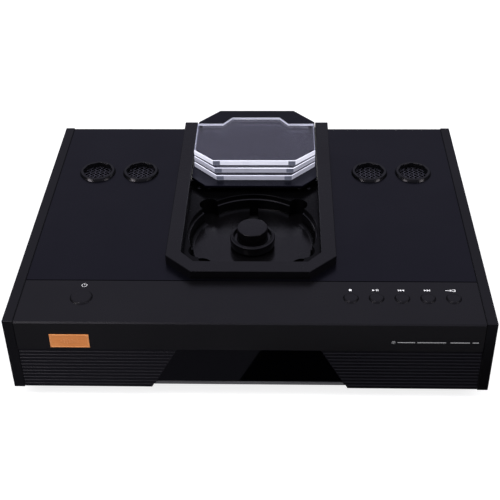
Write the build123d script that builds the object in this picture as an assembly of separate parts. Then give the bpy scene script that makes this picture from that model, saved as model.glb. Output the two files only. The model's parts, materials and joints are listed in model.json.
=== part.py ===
from build123d import *
import os
from math import atan2, cos, hypot, pi, radians, sin, sqrt, tan

# Top-loading CD player: a wide flat casing with a disc well under a sliding lid.
# Millimetres. X runs to the right, Y to the rear and Z up. The origin lies on the surface the
# feet stand on, below the middle of the bounding box with the lid pushed fully back.

# ---- driving dimensions: casing ----
WIDTH = 440.0
DEPTH = 343.0
SIDE_HEIGHT = 80.4
SIDE_THICKNESS = 10.0
FOOT_HEIGHT = 12.0
LID_OVERHANG = 31.4
BADGE_PROUD = 0.8

FRONT_Y = (BADGE_PROUD - DEPTH - LID_OVERHANG) / 2
REAR_Y = FRONT_Y + DEPTH
SIDE_INNER_X = WIDTH / 2 - SIDE_THICKNESS
SIDE_GAP = 0.2
INSIDE_X = SIDE_INNER_X - SIDE_GAP
DECK_TOP = FOOT_HEIGHT + SIDE_HEIGHT - 1.0
DECK_THICKNESS = 3.0
DECK_UNDER = DECK_TOP - DECK_THICKNESS
FLOOR_Z = FOOT_HEIGHT + 2.0
SHEET = 1.5
TRAY_TOP = FLOOR_Z + SHEET

# ---- front panel ----
PANEL_THICKNESS = 8.0
PANEL_BOTTOM = FOOT_HEIGHT + 0.6
STRIP_DEPTH = 60.3
SEAM = 1.1
SEAM_DEPTH = 1.5
STRIP_THICKNESS = 4.0
STRIP_UNDER = DECK_TOP - STRIP_THICKNESS
RIB_TOP = FOOT_HEIGHT + 48.0
RIB_RECESS = 1.0
RIB_PITCH = 3.96
RIB_COUNT = 11
RIB_DEPTH = 0.9
RIB_SLOT = 1.1
FIRST_RIB = 4.5
EDGE_BEVEL = 1.3
WINDOW_TOP_X = 64.5
WINDOW_BOTTOM_X = 86.3
WINDOW_BOTTOM = FOOT_HEIGHT + 7.5
SILL = 3.0
RIB_MARGIN = 0.8
BADGE_X = -161.5
BADGE_Z = FOOT_HEIGHT + 57.9
BADGE_SIZE = (35.6, 15.2)

# ---- buttons ----
POWER_AT = (-154.0, FRONT_Y + 35.6)
POWER_RADIUS = 10.5
KEY_Y = FRONT_Y + 36.4
KEY_PITCH = 23.3
KEY_FIRST_X = 92.4
KEY_RADIUS = 7.2
KEY_NAMES = ("stop_button", "play_button", "previous_button", "next_button", "input_button")
KEY_PROUD = 1.6
KEY_TAPER = 1.1
KEY_FIT = 0.08

# ---- vents ----
VENT_X = (-169.7, -123.0, 123.0, 169.7)
VENT_Y = FRONT_Y + 249.0
VENT_RADIUS = 19.4
VENT_HOLE = 14.9
VENT_PROUD = 3.0
VENT_TAPER = 1.4
VENT_SLEEVE = 2.6

# ---- disc bay, rail frame and lid ----
DISC_Y = FRONT_Y + 146.4
FRAME_TOP = FOOT_HEIGHT + 88.9
FRAME_OUT_X = 81.2
FRAME_IN_X = 67.0
FRAME_FRONT = FRONT_Y + 63.4
FRAME_INNER_FRONT = FRONT_Y + 78.9
FRAME_REAR = REAR_Y - 1.5
BAY_REAR = FRONT_Y + 232.0
LID_TRAVEL = 134.0
LID_UNDER = FOOT_HEIGHT + 82.6
LID_THICKNESS = 3.0
LID_FRONT = FRONT_Y + 213.4
LID_REAR = REAR_Y + LID_OVERHANG
LID_HALF_X = 66.4
LAYER_THICKNESS = 6.0
LAYER_GAP = 0.4
LAYER_HALF_X = 64.6
GROOVE_DEPTH = 3.0
PAD_RADIUS = 2.0
PAD_X = 60.5
PAD_Y = (LID_FRONT + 42.0, LID_FRONT + 93.5)
RUNNER_THICKNESS = 2.3

# ---- disc well ----
WELL_TOP = DECK_UNDER
WELL_RADIUS = 64.8
WELL_LOWER_RADIUS = 62.8
WELL_LEDGE_Z = FOOT_HEIGHT + 71.4
WELL_FLOOR_Z = FOOT_HEIGHT + 58.0
WELL_WALL = 2.0
WELL_FILLET = 4.0
NOTCH_RADIUS = 10.0
NOTCH_ANGLES = (45.0, 135.0)
FINGER_RADIUS = 11.5
FINGER_REACH = 60.5
FINGER_DEPTH = 2.5
FINGER_ANGLES = (214.0, 229.0, 311.0, 326.0)
SLOT_WIDTH = 9.2

# ---- turntable, clamp and drive ----
TURNTABLE_TOP = FOOT_HEIGHT + 60.2
TURNTABLE_RADIUS = 15.5
CONE_RADIUS = 7.4
CLAMP_RING_RADIUS = 22.7
CLAMP_RING_TOP = FOOT_HEIGHT + 70.5
CLAMP_KNOB_RADIUS = 14.5
CLAMP_TOP = FOOT_HEIGHT + 80.4
PLATE_Z = FOOT_HEIGHT + 46.0
PLATE_THICKNESS = 2.0
PLATE_TOP = PLATE_Z + PLATE_THICKNESS
ROD_RADIUS = 1.5
ROD_X = 22.0
ROD_Z = PLATE_TOP + 3.0
RUNNING_FIT = 0.05
LENS_START = 23.0
MODULE = 0.5
PRESSURE_ANGLE = 20.0
SMALL_TEETH = 14
BIG_TEETH = 40
PINION_TEETH = 12
BACKLASH = 0.1
RACK_X = 40.0
GEAR_X = RACK_X + MODULE * SMALL_TEETH / 2
GEAR_Y = DISC_Y + 45.5
PINION_Y = GEAR_Y - MODULE * (BIG_TEETH + PINION_TEETH) / 2
DAMPERS = ((-30.0, -30.0), (30.0, -30.0), (-46.0, 72.0), (46.0, 72.0))

# ---- fasteners ----
M3 = 1.5
M3_HOLE = 1.55
HEAD_RADIUS = 2.8
HEAD_HEIGHT = 2.0


# ---- helpers ----
def block(x0, x1, y0, y1, z0, z1):
    """A box between two corners."""
    return Pos((x0 + x1) / 2, (y0 + y1) / 2, (z0 + z1) / 2) * Box(x1 - x0, y1 - y0, z1 - z0)


def rod(x, y, z0, z1, radius):
    """An upright cylinder."""
    return Pos(x, y, (z0 + z1) / 2) * Cylinder(radius, z1 - z0)


def rod_y(x, z, y0, y1, radius):
    """A cylinder that lies along Y."""
    return Pos(x, (y0 + y1) / 2, z) * Rot(90, 0, 0) * Cylinder(radius, y1 - y0)


def rod_x(y, z, x0, x1, radius):
    """A cylinder that lies along X."""
    return Pos((x0 + x1) / 2, y, z) * Rot(0, 90, 0) * Cylinder(radius, x1 - x0)


def slab(points, z0, z1):
    """A flat plate from an outline in X and Y."""
    outline = make_face(Polyline(*points, close=True))
    return extrude(Pos(0, 0, z0) * outline, amount=z1 - z0)


def upright(points, y0, y1):
    """A plate that stands across Y, from an outline in X and Z."""
    outline = make_face(Polyline(*[(x, 0, z) for x, z in points], close=True))
    return extrude(Pos(0, y0, 0) * outline, amount=y1 - y0, dir=(0, 1, 0))


def turned(points, x, y):
    """A solid of revolution about an upright axis, from an outline in radius and Z."""
    outline = make_face(Polyline(*[(r, 0, z) for r, z in points], close=True))
    return Pos(x, y, 0) * revolve(outline, Axis.Z, 360)


def group(pieces):
    """Separate solids that share one node."""
    return Compound(children=[solid for piece in pieces for solid in piece.solids()])


def save(shape, node):
    export_step(shape, f"parts/{node}.step")


# ---- casing ----
CASING_SCREW_Y = (FRONT_Y + 90, FRONT_Y + 200, FRONT_Y + 310)
CASING_SCREW_Z = DECK_UNDER - 9.0
FRONT_SCREW_X = (-190.0, -110.0, 110.0, 190.0)
FRONT_SCREW_Z = TRAY_TOP + 6.0
LIP_SCREW_DEPTH = 6.0


def side_panel(side):
    """A thick plate with softened edges and three blind holes for its screws."""
    inner, outer = side * SIDE_INNER_X, side * WIDTH / 2
    low, high = min(inner, outer), max(inner, outer)
    plate = block(low, high, FRONT_Y, REAR_Y, FOOT_HEIGHT, FOOT_HEIGHT + SIDE_HEIGHT)
    plate = chamfer(plate.edges(), 0.6)
    for y in CASING_SCREW_Y:
        ends = sorted((inner, inner + side * 7))
        plate -= rod_x(y, CASING_SCREW_Z, *ends, M3_HOLE)
    return plate


def window_outline(grow=0.0, low=WINDOW_BOTTOM, high=RIB_TOP):
    """The trapezoid of the display window, grown sideways, between two heights."""
    slope = (WINDOW_BOTTOM_X - WINDOW_TOP_X) / (RIB_TOP - WINDOW_BOTTOM)

    def half(z):
        return WINDOW_TOP_X + grow + (RIB_TOP - z) * slope

    return [(-half(low), low), (half(low), low), (half(high), high), (-half(high), high)]


def rib_grooves():
    """The grooves that leave horizontal ribs on the lower front, each with a sloping upper edge."""
    face = FRONT_Y + RIB_RECESS
    deep = face + RIB_DEPTH
    grooves = []
    for k in range(RIB_COUNT):
        z = RIB_TOP - FIRST_RIB - k * RIB_PITCH
        section = [(face - 0.5, z), (face, z), (deep, z + RIB_DEPTH), (deep, z + RIB_SLOT)]
        section += [(face - 0.5, z + RIB_SLOT)]
        outline = make_face(Polyline(*[(-WIDTH / 2, y, h) for y, h in section], close=True))
        grooves.append(extrude(outline, amount=WIDTH, dir=(1, 0, 0)))
    return grooves


def front_panel():
    """The front face and its top strip in one piece."""
    back = FRONT_Y + PANEL_THICKNESS
    x = INSIDE_X
    face = block(-x, x, FRONT_Y, back, PANEL_BOTTOM, DECK_TOP)
    strip = block(-x, x, FRONT_Y, FRONT_Y + STRIP_DEPTH, STRIP_UNDER, DECK_TOP)
    panel = face + strip
    panel = chamfer(panel.edges().filter_by(Axis.X).sort_by(Axis.Z)[-2:].sort_by(Axis.Y)[0], EDGE_BEVEL)
    panel -= block(-x, x, FRONT_Y - 1, FRONT_Y + RIB_RECESS, PANEL_BOTTOM - 1, RIB_TOP)
    for groove in rib_grooves():
        panel -= groove
    panel += upright(window_outline(RIB_MARGIN, WINDOW_BOTTOM - SILL), FRONT_Y + RIB_RECESS, back)
    panel -= upright(window_outline(), FRONT_Y - 1, back + 1)
    notch = window_outline(RIB_MARGIN, PANEL_BOTTOM - 1, WINDOW_BOTTOM - SILL)
    panel -= upright(notch, FRONT_Y - 1, back + 1)
    w, h = BADGE_SIZE
    pocket = block(BADGE_X - w / 2 - 0.1, BADGE_X + w / 2 + 0.1, FRONT_Y - 1, FRONT_Y + 0.8,
                   BADGE_Z - h / 2 - 0.1, BADGE_Z + h / 2 + 0.1)
    panel -= pocket
    for (bx, by), radius in button_places():
        panel -= rod(bx, by, STRIP_UNDER - 1, DECK_TOP + 1, radius)
    for bx, by in BUTTON_BOARD_BOSSES:
        panel += rod(bx, by, BOARD_TOP, STRIP_UNDER, 3.0)
        panel -= rod(bx, by, BOARD_TOP - 1, BOARD_TOP + 7, M3_HOLE)
    for sx in FRONT_SCREW_X:
        panel -= rod_y(sx, FRONT_SCREW_Z, back - LIP_SCREW_DEPTH, back + 1, M3_HOLE)
    return panel


def display_window():
    """Smoked acrylic: a trapezoid boss that fills the opening, with a wider flange behind."""
    boss = upright(window_outline(-0.15, WINDOW_BOTTOM + 0.1, RIB_TOP - 0.1),
                   FRONT_Y + RIB_RECESS + 0.8, FRONT_Y + PANEL_THICKNESS)
    flange = upright(window_outline(3.0, WINDOW_BOTTOM - 1.2, RIB_TOP + 2.0),
                     FRONT_Y + PANEL_THICKNESS, FRONT_Y + PANEL_THICKNESS + 2)
    return boss + flange


def display_module():
    """A glass display cell on its circuit board, against the back of the window."""
    y = FRONT_Y + PANEL_THICKNESS + 2
    middle = (WINDOW_BOTTOM + RIB_TOP) / 2
    cell = block(-55, 55, y, y + 6, middle - 13, middle + 13)
    board = block(-60, 60, y + 6, y + 7.6, middle - 17, middle + 17)
    return cell + board


def badge_plate():
    w, h = BADGE_SIZE
    plate = block(BADGE_X - w / 2, BADGE_X + w / 2, FRONT_Y - BADGE_PROUD, FRONT_Y + 0.8,
                  BADGE_Z - h / 2, BADGE_Z + h / 2)
    front = plate.faces().sort_by(Axis.Y)[0]
    return chamfer(front.edges(), 0.3)


def top_deck():
    """The main cover: a flat plate with two folded side lips, the bay opening and vent holes."""
    front = FRONT_Y + STRIP_DEPTH + SEAM
    deck = block(-INSIDE_X, INSIDE_X, front, REAR_Y, DECK_UNDER, DECK_TOP)
    rear_edge = deck.edges().filter_by(Axis.X).group_by(Axis.Y)[-1].sort_by(Axis.Z)[-1]
    deck = chamfer(rear_edge, 0.8)
    deck += block(-INSIDE_X, INSIDE_X, front - SEAM + 0.1, front, DECK_UNDER, DECK_TOP - SEAM_DEPTH)
    for side in (-1, 1):
        ends = sorted((side * (INSIDE_X - 3.1), side * (INSIDE_X - 1.6)))
        lip = block(*ends, front + 8, REAR_Y - 8, DECK_UNDER - 14, DECK_UNDER)
        for y in CASING_SCREW_Y:
            lip -= rod_x(y, CASING_SCREW_Z, ends[0] - 1, ends[1] + 1, M3_HOLE)
        deck += lip
    deck -= slab(bay_outline(0.2), DECK_UNDER - 1, DECK_TOP + 1)
    for x in VENT_X:
        deck -= rod(x, VENT_Y, DECK_UNDER - 1, DECK_TOP + 1, VENT_HOLE + 1.5)
    for x, y in FRAME_SCREWS:
        deck -= rod(x, y, DECK_UNDER - 1, DECK_TOP + 1, M3_HOLE)
    return deck


def vent_ring(x):
    """A raised collar with a tapered outer wall and a sleeve down through the deck."""
    top = DECK_TOP + VENT_PROUD
    low = DECK_TOP - VENT_SLEEVE
    collar = [(VENT_HOLE, low), (VENT_HOLE, top - 0.5), (VENT_HOLE + 0.5, top)]
    collar += [(VENT_RADIUS - VENT_TAPER - 0.3, top), (VENT_RADIUS - VENT_TAPER, top - 0.3)]
    collar += [(VENT_RADIUS, DECK_TOP)]
    collar += [(VENT_HOLE + 1.4, DECK_TOP), (VENT_HOLE + 1.4, low)]
    return turned(collar, x, VENT_Y)


def vent_mesh(x):
    """A disc of diagonal mesh clamped under the collar's sleeve."""
    top = DECK_TOP - VENT_SLEEVE
    disc = rod(x, VENT_Y, top - 0.8, top, VENT_HOLE + 1.4)
    pitch = 3.6
    reach = VENT_HOLE - 1.8
    holes = []
    count = int(reach / pitch) + 2
    for i in range(-count, count + 1):
        for j in range(-count, count + 1):
            u, v = (i + 0.5) * pitch, (j + 0.5) * pitch
            hx, hy = (u - v) * sqrt(0.5), (u + v) * sqrt(0.5)
            if hypot(hx, hy) < reach:
                holes.append(Pos(x + hx, VENT_Y + hy, top - 0.4) * Rot(0, 0, 45) * Box(2.5, 2.5, 2))
    return disc - holes


def bay_outline(grow=0.0):
    """The disc bay seen from above: a rectangle with two cut corners at the front."""
    cut_x, cut_y = 13.2, 15.0
    x, y = FRAME_IN_X + grow, FRAME_INNER_FRONT - grow
    half = [(0, y), (x - cut_x, y), (x, y + cut_y), (x, BAY_REAR)]
    return [(-px, py) for px, py in reversed(half[1:])] + half[1:]


def chassis_tray():
    """Folded sheet: a floor, two side flanges and two short lips behind the front panel."""
    y0, y1 = FRONT_Y + PANEL_THICKNESS + 0.2, REAR_Y - 3.1
    x = INSIDE_X
    tray = block(-x, x, y0, y1, FLOOR_Z, TRAY_TOP)
    for side in (-1, 1):
        ends = sorted((side * x, side * (x - SHEET)))
        flange = block(*ends, y0, y1, TRAY_TOP, DECK_UNDER - 4.2)
        for y in CASING_SCREW_Y:
            flange -= rod_x(y, CASING_SCREW_Z, ends[0] - 1, ends[1] + 1, M3_HOLE)
        tray += flange
        lip = sorted((side * 98.0, side * 202.0))
        tray += block(*lip, y0, y0 + SHEET, TRAY_TOP, TRAY_TOP + 12)
        rear_lip = sorted((side * 30.0, side * 202.0))
        tray += block(*rear_lip, y1 - SHEET, y1, TRAY_TOP, TRAY_TOP + 5)
    for sx in FRONT_SCREW_X:
        tray -= rod_y(sx, FRONT_SCREW_Z, y0 - 1, y0 + SHEET + 1, M3_HOLE)
    for fx, fy in FOOT_PLACES:
        tray -= rod(fx, fy, FLOOR_Z - 1, TRAY_TOP + 1, 2.1)
    for sx, sy, _ in STANDOFFS:
        tray -= rod(sx, sy, FLOOR_Z - 1, TRAY_TOP + 1, M3_HOLE)
    tray -= rod(TRANSFORMER_AT[0], TRANSFORMER_AT[1], FLOOR_Z - 1, TRAY_TOP + 1, 3.1)
    for k in range(9):
        sx = -60 + k * 15
        tray -= block(sx - 1.5, sx + 1.5, DISC_Y - 20, DISC_Y + 40, FLOOR_Z - 1, TRAY_TOP + 1)
    for sx in REAR_SCREW_X:
        tray -= rod_y(sx, REAR_SCREW_Z, y1 - SHEET - 1, y1 + 1, M3_HOLE)
    return tray


REAR_SCREW_X = (-196.0, -60.0, 60.0, 196.0)
REAR_SCREW_Z = TRAY_TOP + 3.0
INLET_AT = (-140.0, FOOT_HEIGHT + 38.0)
INLET_BODY = (27.0, 20.0)
PHONO_X = (70.0, 95.0, 135.0)
PHONO_Z = FOOT_HEIGHT + 32.0
OPTICAL_X = 165.0


def rear_panel():
    """A flat plate with the socket openings and a row of vent slots."""
    y0, y1 = REAR_Y - 3.0, REAR_Y
    panel = block(-INSIDE_X, INSIDE_X, y0, y1, FLOOR_Z, DECK_UNDER - 0.1)
    w, h = INLET_BODY
    x, z = INLET_AT
    panel -= block(x - w / 2 - 0.2, x + w / 2 + 0.2, y0 - 1, y1 + 1, z - h / 2 - 0.2, z + h / 2 + 0.2)
    for px in PHONO_X:
        panel -= rod_y(px, PHONO_Z, y0 - 1, y1 + 1, 5.0)
    panel -= block(OPTICAL_X - 5.1, OPTICAL_X + 5.1, y0 - 1, y1 + 1, PHONO_Z - 5.1, PHONO_Z + 5.1)
    for k in range(14):
        sx = -58 + k * 8
        panel -= block(sx - 1.5, sx + 1.5, y0 - 1, y1 + 1, FOOT_HEIGHT + 44, FOOT_HEIGHT + 62)
    for sx in REAR_SCREW_X:
        panel -= rod_y(sx, REAR_SCREW_Z, y0 - 1, y1 + 1, M3_HOLE)
    return panel


FOOT_PLACES = [(x, y) for x in (-172.0, 172.0) for y in (FRONT_Y + 48, REAR_Y - 48)]
PAD_THICKNESS = 2.0


def foot_body(x, y):
    """A turned foot with a bevelled rim and a counterbore for its screw."""
    z0, z1 = PAD_THICKNESS, FLOOR_Z
    body = turned([(0, z0), (19.5, z0), (21, z0 + 1.5), (21, z1 - 1), (20, z1), (0, z1)], x, y)
    body -= rod(x, y, z0 - 1, z0 + 5, 4.2)
    return body - rod(x, y, z0, z1 + 1, 2.05)


def foot_pad(x, y):
    """A rubber disc with a hole that leaves the screw reachable."""
    return rod(x, y, 0, PAD_THICKNESS, 18.5) - rod(x, y, -1, PAD_THICKNESS + 1, 4.5)


def foot_screw(x, y):
    z = PAD_THICKNESS + 5
    socket = Pos(x, y, z - 2.4) * extrude(RegularPolygon(1.5, 6), amount=1.6)
    return rod(x, y, z - 2.4, z, 3.5) + rod(x, y, z, TRAY_TOP + 4, 2.0) - socket


def casing_screws():
    """The identical screws that hold the side panels and the front panel."""
    screws = []
    for side in (-1, 1):
        inner = side * (INSIDE_X - 3.1)
        for y in CASING_SCREW_Y:
            head = rod_x(y, CASING_SCREW_Z, *sorted((inner, inner - side * HEAD_HEIGHT)), HEAD_RADIUS)
            shank = rod_x(y, CASING_SCREW_Z, *sorted((inner, side * (SIDE_INNER_X + 6))), M3)
            screws.append(head + shank)
    y = FRONT_Y + PANEL_THICKNESS + 0.2 + SHEET
    for x in FRONT_SCREW_X:
        head = rod_y(x, FRONT_SCREW_Z, y, y + HEAD_HEIGHT, HEAD_RADIUS)
        shank = rod_y(x, FRONT_SCREW_Z, y - LIP_SCREW_DEPTH, y, M3)
        screws.append(head + shank)
    return group(screws)


def rear_screw(x):
    """A socket-head screw that holds the rear panel to the tray's rear lip."""
    head = rod_y(x, REAR_SCREW_Z, REAR_Y, REAR_Y + HEAD_HEIGHT, HEAD_RADIUS)
    shank = rod_y(x, REAR_SCREW_Z, REAR_Y - 6, REAR_Y, M3)
    hexagon = extrude(RegularPolygon(1.25, 6), amount=1.4)
    socket = Pos(x, REAR_Y + HEAD_HEIGHT, REAR_SCREW_Z) * Rot(90, 0, 0) * hexagon
    return head + shank - socket


# ---- controls ----
BOARD_TOP = FOOT_HEIGHT + 66.0
BUTTON_BOARD_BOSSES = [(x, FRONT_Y + 38.0) for x in (-176.0, -60.0, 76.0, 202.0)]
SWITCH_TOP = FOOT_HEIGHT + 71.0
KEY_TRAVEL = 0.8


def key_places():
    return [((KEY_FIRST_X + k * KEY_PITCH, KEY_Y), KEY_RADIUS) for k in range(len(KEY_NAMES))]


def button_places():
    return [(POWER_AT, POWER_RADIUS)] + key_places()


def button(place, hole_radius):
    """A tapered cap that slides in its hole, a flange under the strip and a short stem."""
    x, y = place
    radius = hole_radius - KEY_FIT
    top = DECK_TOP + KEY_PROUD
    bevel = 0.3
    crown = radius - KEY_TAPER
    flange = STRIP_UNDER - 0.2
    outline = [(0, SWITCH_TOP + KEY_TRAVEL + 0.1), (2, SWITCH_TOP + KEY_TRAVEL + 0.1)]
    outline += [(2, flange - 1.8), (radius + 1.5, flange - 1.8), (radius + 1.5, flange)]
    outline += [(radius, flange), (radius, DECK_TOP), (crown, top - bevel), (crown - bevel, top)]
    outline += [(crown - 1.2, top), (crown - 2.0, top - 0.25), (0, top - 0.25)]
    return turned(outline, x, y)


def button_board():
    """The long circuit board under the top strip."""
    board = block(-182, 206, FRONT_Y + 27, FRONT_Y + 49, BOARD_TOP - 1.6, BOARD_TOP)
    for x, y in BUTTON_BOARD_BOSSES:
        board -= rod(x, y, BOARD_TOP - 3, BOARD_TOP + 1, M3_HOLE)
    return board


def key_switch(x, y):
    """A tact switch: a square body with a round plunger."""
    body = block(x - 3, x + 3, y - 3, y + 3, BOARD_TOP, BOARD_TOP + 3.5)
    return body + rod(x, y, BOARD_TOP + 3.5, SWITCH_TOP, 1.75)


# ---- rail frame ----
FRAME_SCREWS = [(x, FRONT_Y + d) for x in (-74.0, 74.0) for d in (105.0, 165.0, 225.0, 320.0)]
RUNNER_FRONT = LID_FRONT + 18.0
RUNNER_REAR = FRAME_REAR - 1.0
RUNNER_Z = LID_UNDER - RUNNER_THICKNESS


def lid_rail_frame():
    """A U of two rails joined by a front bar with cut corners, grooved inside for the lid."""
    half_out = [(55.7, FRAME_FRONT), (FRAME_OUT_X, FRAME_FRONT + 24.5), (FRAME_OUT_X, FRAME_REAR)]
    half_in = [(FRAME_IN_X, FRAME_REAR), (FRAME_IN_X, FRAME_INNER_FRONT + 15.0)]
    half_in += [(FRAME_IN_X - 13.2, FRAME_INNER_FRONT)]
    half = half_out + half_in
    frame = slab(half + [(-x, y) for x, y in reversed(half)], DECK_TOP, FRAME_TOP)
    frame = chamfer(frame.edges().group_by(Axis.Z)[-1], 0.5)
    for side in (-1, 1):
        ends = sorted((side * (FRAME_IN_X - 1), side * (FRAME_IN_X + GROOVE_DEPTH)))
        start = RUNNER_FRONT - LID_TRAVEL - 1.0
        frame -= block(*ends, start, FRAME_REAR + 1, RUNNER_Z - 0.2, LID_UNDER + 0.2)
    for x, y in FRAME_SCREWS:
        frame -= rod(x, y, DECK_TOP - 1, DECK_TOP + 6, M3_HOLE)
    return frame


def frame_screws():
    """Screws from below: through the well's flange or the deck into the rails."""
    screws = []
    for x, y in FRAME_SCREWS:
        under = WELL_TOP - WELL_WALL if y < WELL_REAR else DECK_UNDER
        head = rod(x, y, under - HEAD_HEIGHT, under, HEAD_RADIUS)
        screws.append(head + rod(x, y, under, DECK_TOP + 5, M3))
    return group(screws)


# ---- disc well ----
WELL_FRONT = FRONT_Y + 74.0
WELL_REAR = FRONT_Y + 244.0
WELL_HALF_X = 79.0


def well_bore():
    """The turned hollow of the well: a shallow floor, a rounded foot, a ledge and a flared rim."""
    rim = WELL_TOP + 0.01
    ledge = 0.7
    bore = [(0, WELL_FLOOR_Z + 0.3), (30, WELL_FLOOR_Z)]
    for k in range(7):
        turn = radians(15 * k)
        bore.append((WELL_LOWER_RADIUS - WELL_FILLET * (1 - sin(turn)),
                     WELL_FLOOR_Z + WELL_FILLET * (1 - cos(turn))))
    bore += [(WELL_LOWER_RADIUS, WELL_LEDGE_Z - ledge)]
    bore += [(WELL_LOWER_RADIUS + ledge, WELL_LEDGE_Z), (WELL_RADIUS, WELL_LEDGE_Z)]
    bore += [(WELL_RADIUS, WELL_TOP - 0.6), (WELL_RADIUS + 0.6, rim), (0, rim)]
    return turned(bore, 0, DISC_Y)


def around_disc(angle, reach):
    """A place at an angle and a distance from the disc's middle."""
    return reach * cos(radians(angle)), DISC_Y + reach * sin(radians(angle))


def disc_well():
    """The moulded well: a flange under the deck, a stepped round wall and a shallow floor."""
    well = block(-WELL_HALF_X, WELL_HALF_X, WELL_FRONT, WELL_REAR, WELL_TOP - WELL_WALL, WELL_TOP)
    under = WELL_FLOOR_Z - WELL_WALL
    finger_z = WELL_FLOOR_Z - FINGER_DEPTH
    well += rod(0, DISC_Y, under, WELL_TOP, WELL_RADIUS + WELL_WALL)
    for angle in NOTCH_ANGLES:
        well += rod(*around_disc(angle, WELL_RADIUS), under, WELL_TOP, NOTCH_RADIUS + WELL_WALL)
    for angle in FINGER_ANGLES:
        place = around_disc(angle, FINGER_REACH)
        well += rod(*place, finger_z - WELL_WALL, WELL_TOP, FINGER_RADIUS + WELL_WALL)
    for x, dy in DAMPERS:
        top = WELL_TOP - WELL_WALL if dy > 40 else under
        well += rod(x, DISC_Y + dy, PLATE_TOP + DAMPER_HEIGHT, top, 4.0)
    well -= well_bore()
    for angle in NOTCH_ANGLES:
        well -= rod(*around_disc(angle, WELL_RADIUS), WELL_FLOOR_Z, WELL_TOP + 1, NOTCH_RADIUS)
    for angle in FINGER_ANGLES:
        well -= rod(*around_disc(angle, FINGER_REACH), finger_z, WELL_TOP + 1, FINGER_RADIUS)
    well -= rod(0, DISC_Y, under - 1, WELL_FLOOR_Z + 1, TURNTABLE_RADIUS + 1.2)
    half_slot = SLOT_WIDTH / 2
    slot_end = DISC_Y + WELL_LOWER_RADIUS - 0.2
    well -= block(-half_slot, half_slot, DISC_Y, slot_end, under - 1, WELL_FLOOR_Z + WELL_FILLET)
    for x, dy in DAMPERS:
        low = PLATE_TOP + DAMPER_HEIGHT
        well -= rod(x, DISC_Y + dy, low - 1, low + 4.5, M3_HOLE)
    for x, y in FRAME_SCREWS:
        if y < WELL_REAR:
            well -= rod(x, y, WELL_TOP - WELL_WALL - 1, WELL_TOP + 1, M3_HOLE)
    return well


# ---- drive ----
DAMPER_HEIGHT = 3.0
ROD_FRONT = DISC_Y + 6.0
ROD_REAR = DISC_Y + 86.0


def drive_plate():
    """The floating plate that carries the spindle motor, the guide rods and the sled drive."""
    plate = block(-56, 56, DISC_Y - 38, DISC_Y + 92, PLATE_Z, PLATE_TOP)
    plate = chamfer(plate.edges().filter_by(Axis.Z), 6)
    for x in (-ROD_X, ROD_X):
        for y in (ROD_FRONT, ROD_REAR - 4):
            plate += block(x - 4, x + 4, y, y + 4, PLATE_TOP, ROD_Z + 3)
        plate -= rod_y(x, ROD_Z, ROD_FRONT + 1, ROD_REAR - 1, ROD_RADIUS)
    plate -= rod(0, DISC_Y, PLATE_Z - 1, PLATE_TOP + 1, 3.05)
    plate -= rod(GEAR_X, PINION_Y, PLATE_Z - 1, PLATE_TOP + 1, 1.5)
    plate -= rod(GEAR_X, GEAR_Y, PLATE_Z - 1, PLATE_TOP + 1, 1.0)
    for x, dy in DAMPERS:
        plate -= rod(x, DISC_Y + dy, PLATE_Z - 1, PLATE_TOP + 1, 2.0)
    return plate


def damper(x, y):
    """A rubber ring between the plate and the well's post."""
    z0, z1 = PLATE_TOP, PLATE_TOP + DAMPER_HEIGHT
    waist = (z0 + z1) / 2
    ring = [(2, z0), (5, z0), (5, z0 + 0.8), (4.2, waist), (5, z1 - 0.8), (5, z1), (2, z1)]
    return turned(ring, x, y)


def damper_screw(x, y):
    head = rod(x, y, PLATE_Z - 2, PLATE_Z, 3.5)
    return head + rod(x, y, PLATE_Z, PLATE_TOP + DAMPER_HEIGHT + 4, M3)


def guide_rod(x):
    return rod_y(x, ROD_Z, ROD_FRONT + 1, ROD_REAR - 1, ROD_RADIUS)


def motor(x, y, radius, length, boss, shaft):
    """A can motor with a boss through the drive plate and a bore for its shaft."""
    can = rod(x, y, PLATE_Z - length, PLATE_Z, radius)
    can = chamfer(can.edges(), 0.8)
    can += rod(x, y, PLATE_Z, PLATE_TOP, boss)
    return can - rod(x, y, PLATE_Z - length + 2, PLATE_TOP + 1, shaft + RUNNING_FIT)


SHAFT_RADIUS = 1.0
SMALL_SHAFT = 0.75
SPINDLE_LENGTH = 16.0


def spindle_shaft():
    return rod(0, DISC_Y, PLATE_Z - SPINDLE_LENGTH + 3, TURNTABLE_TOP + 1, SHAFT_RADIUS)


def turntable():
    """The platter with its centring cone and hub."""
    z = TURNTABLE_TOP
    outline = [(SHAFT_RADIUS, PLATE_TOP + 1.5), (4, PLATE_TOP + 1.5), (4, z - 2.6)]
    outline += [(TURNTABLE_RADIUS - 0.4, z - 2.6), (TURNTABLE_RADIUS, z - 2.2)]
    outline += [(TURNTABLE_RADIUS, z - 0.3), (TURNTABLE_RADIUS - 0.3, z), (CONE_RADIUS, z)]
    outline += [(CONE_RADIUS, z + 1.2), (CONE_RADIUS - 1.6, z + 3), (SHAFT_RADIUS, z + 3)]
    return turned(outline, 0, DISC_Y)


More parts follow.
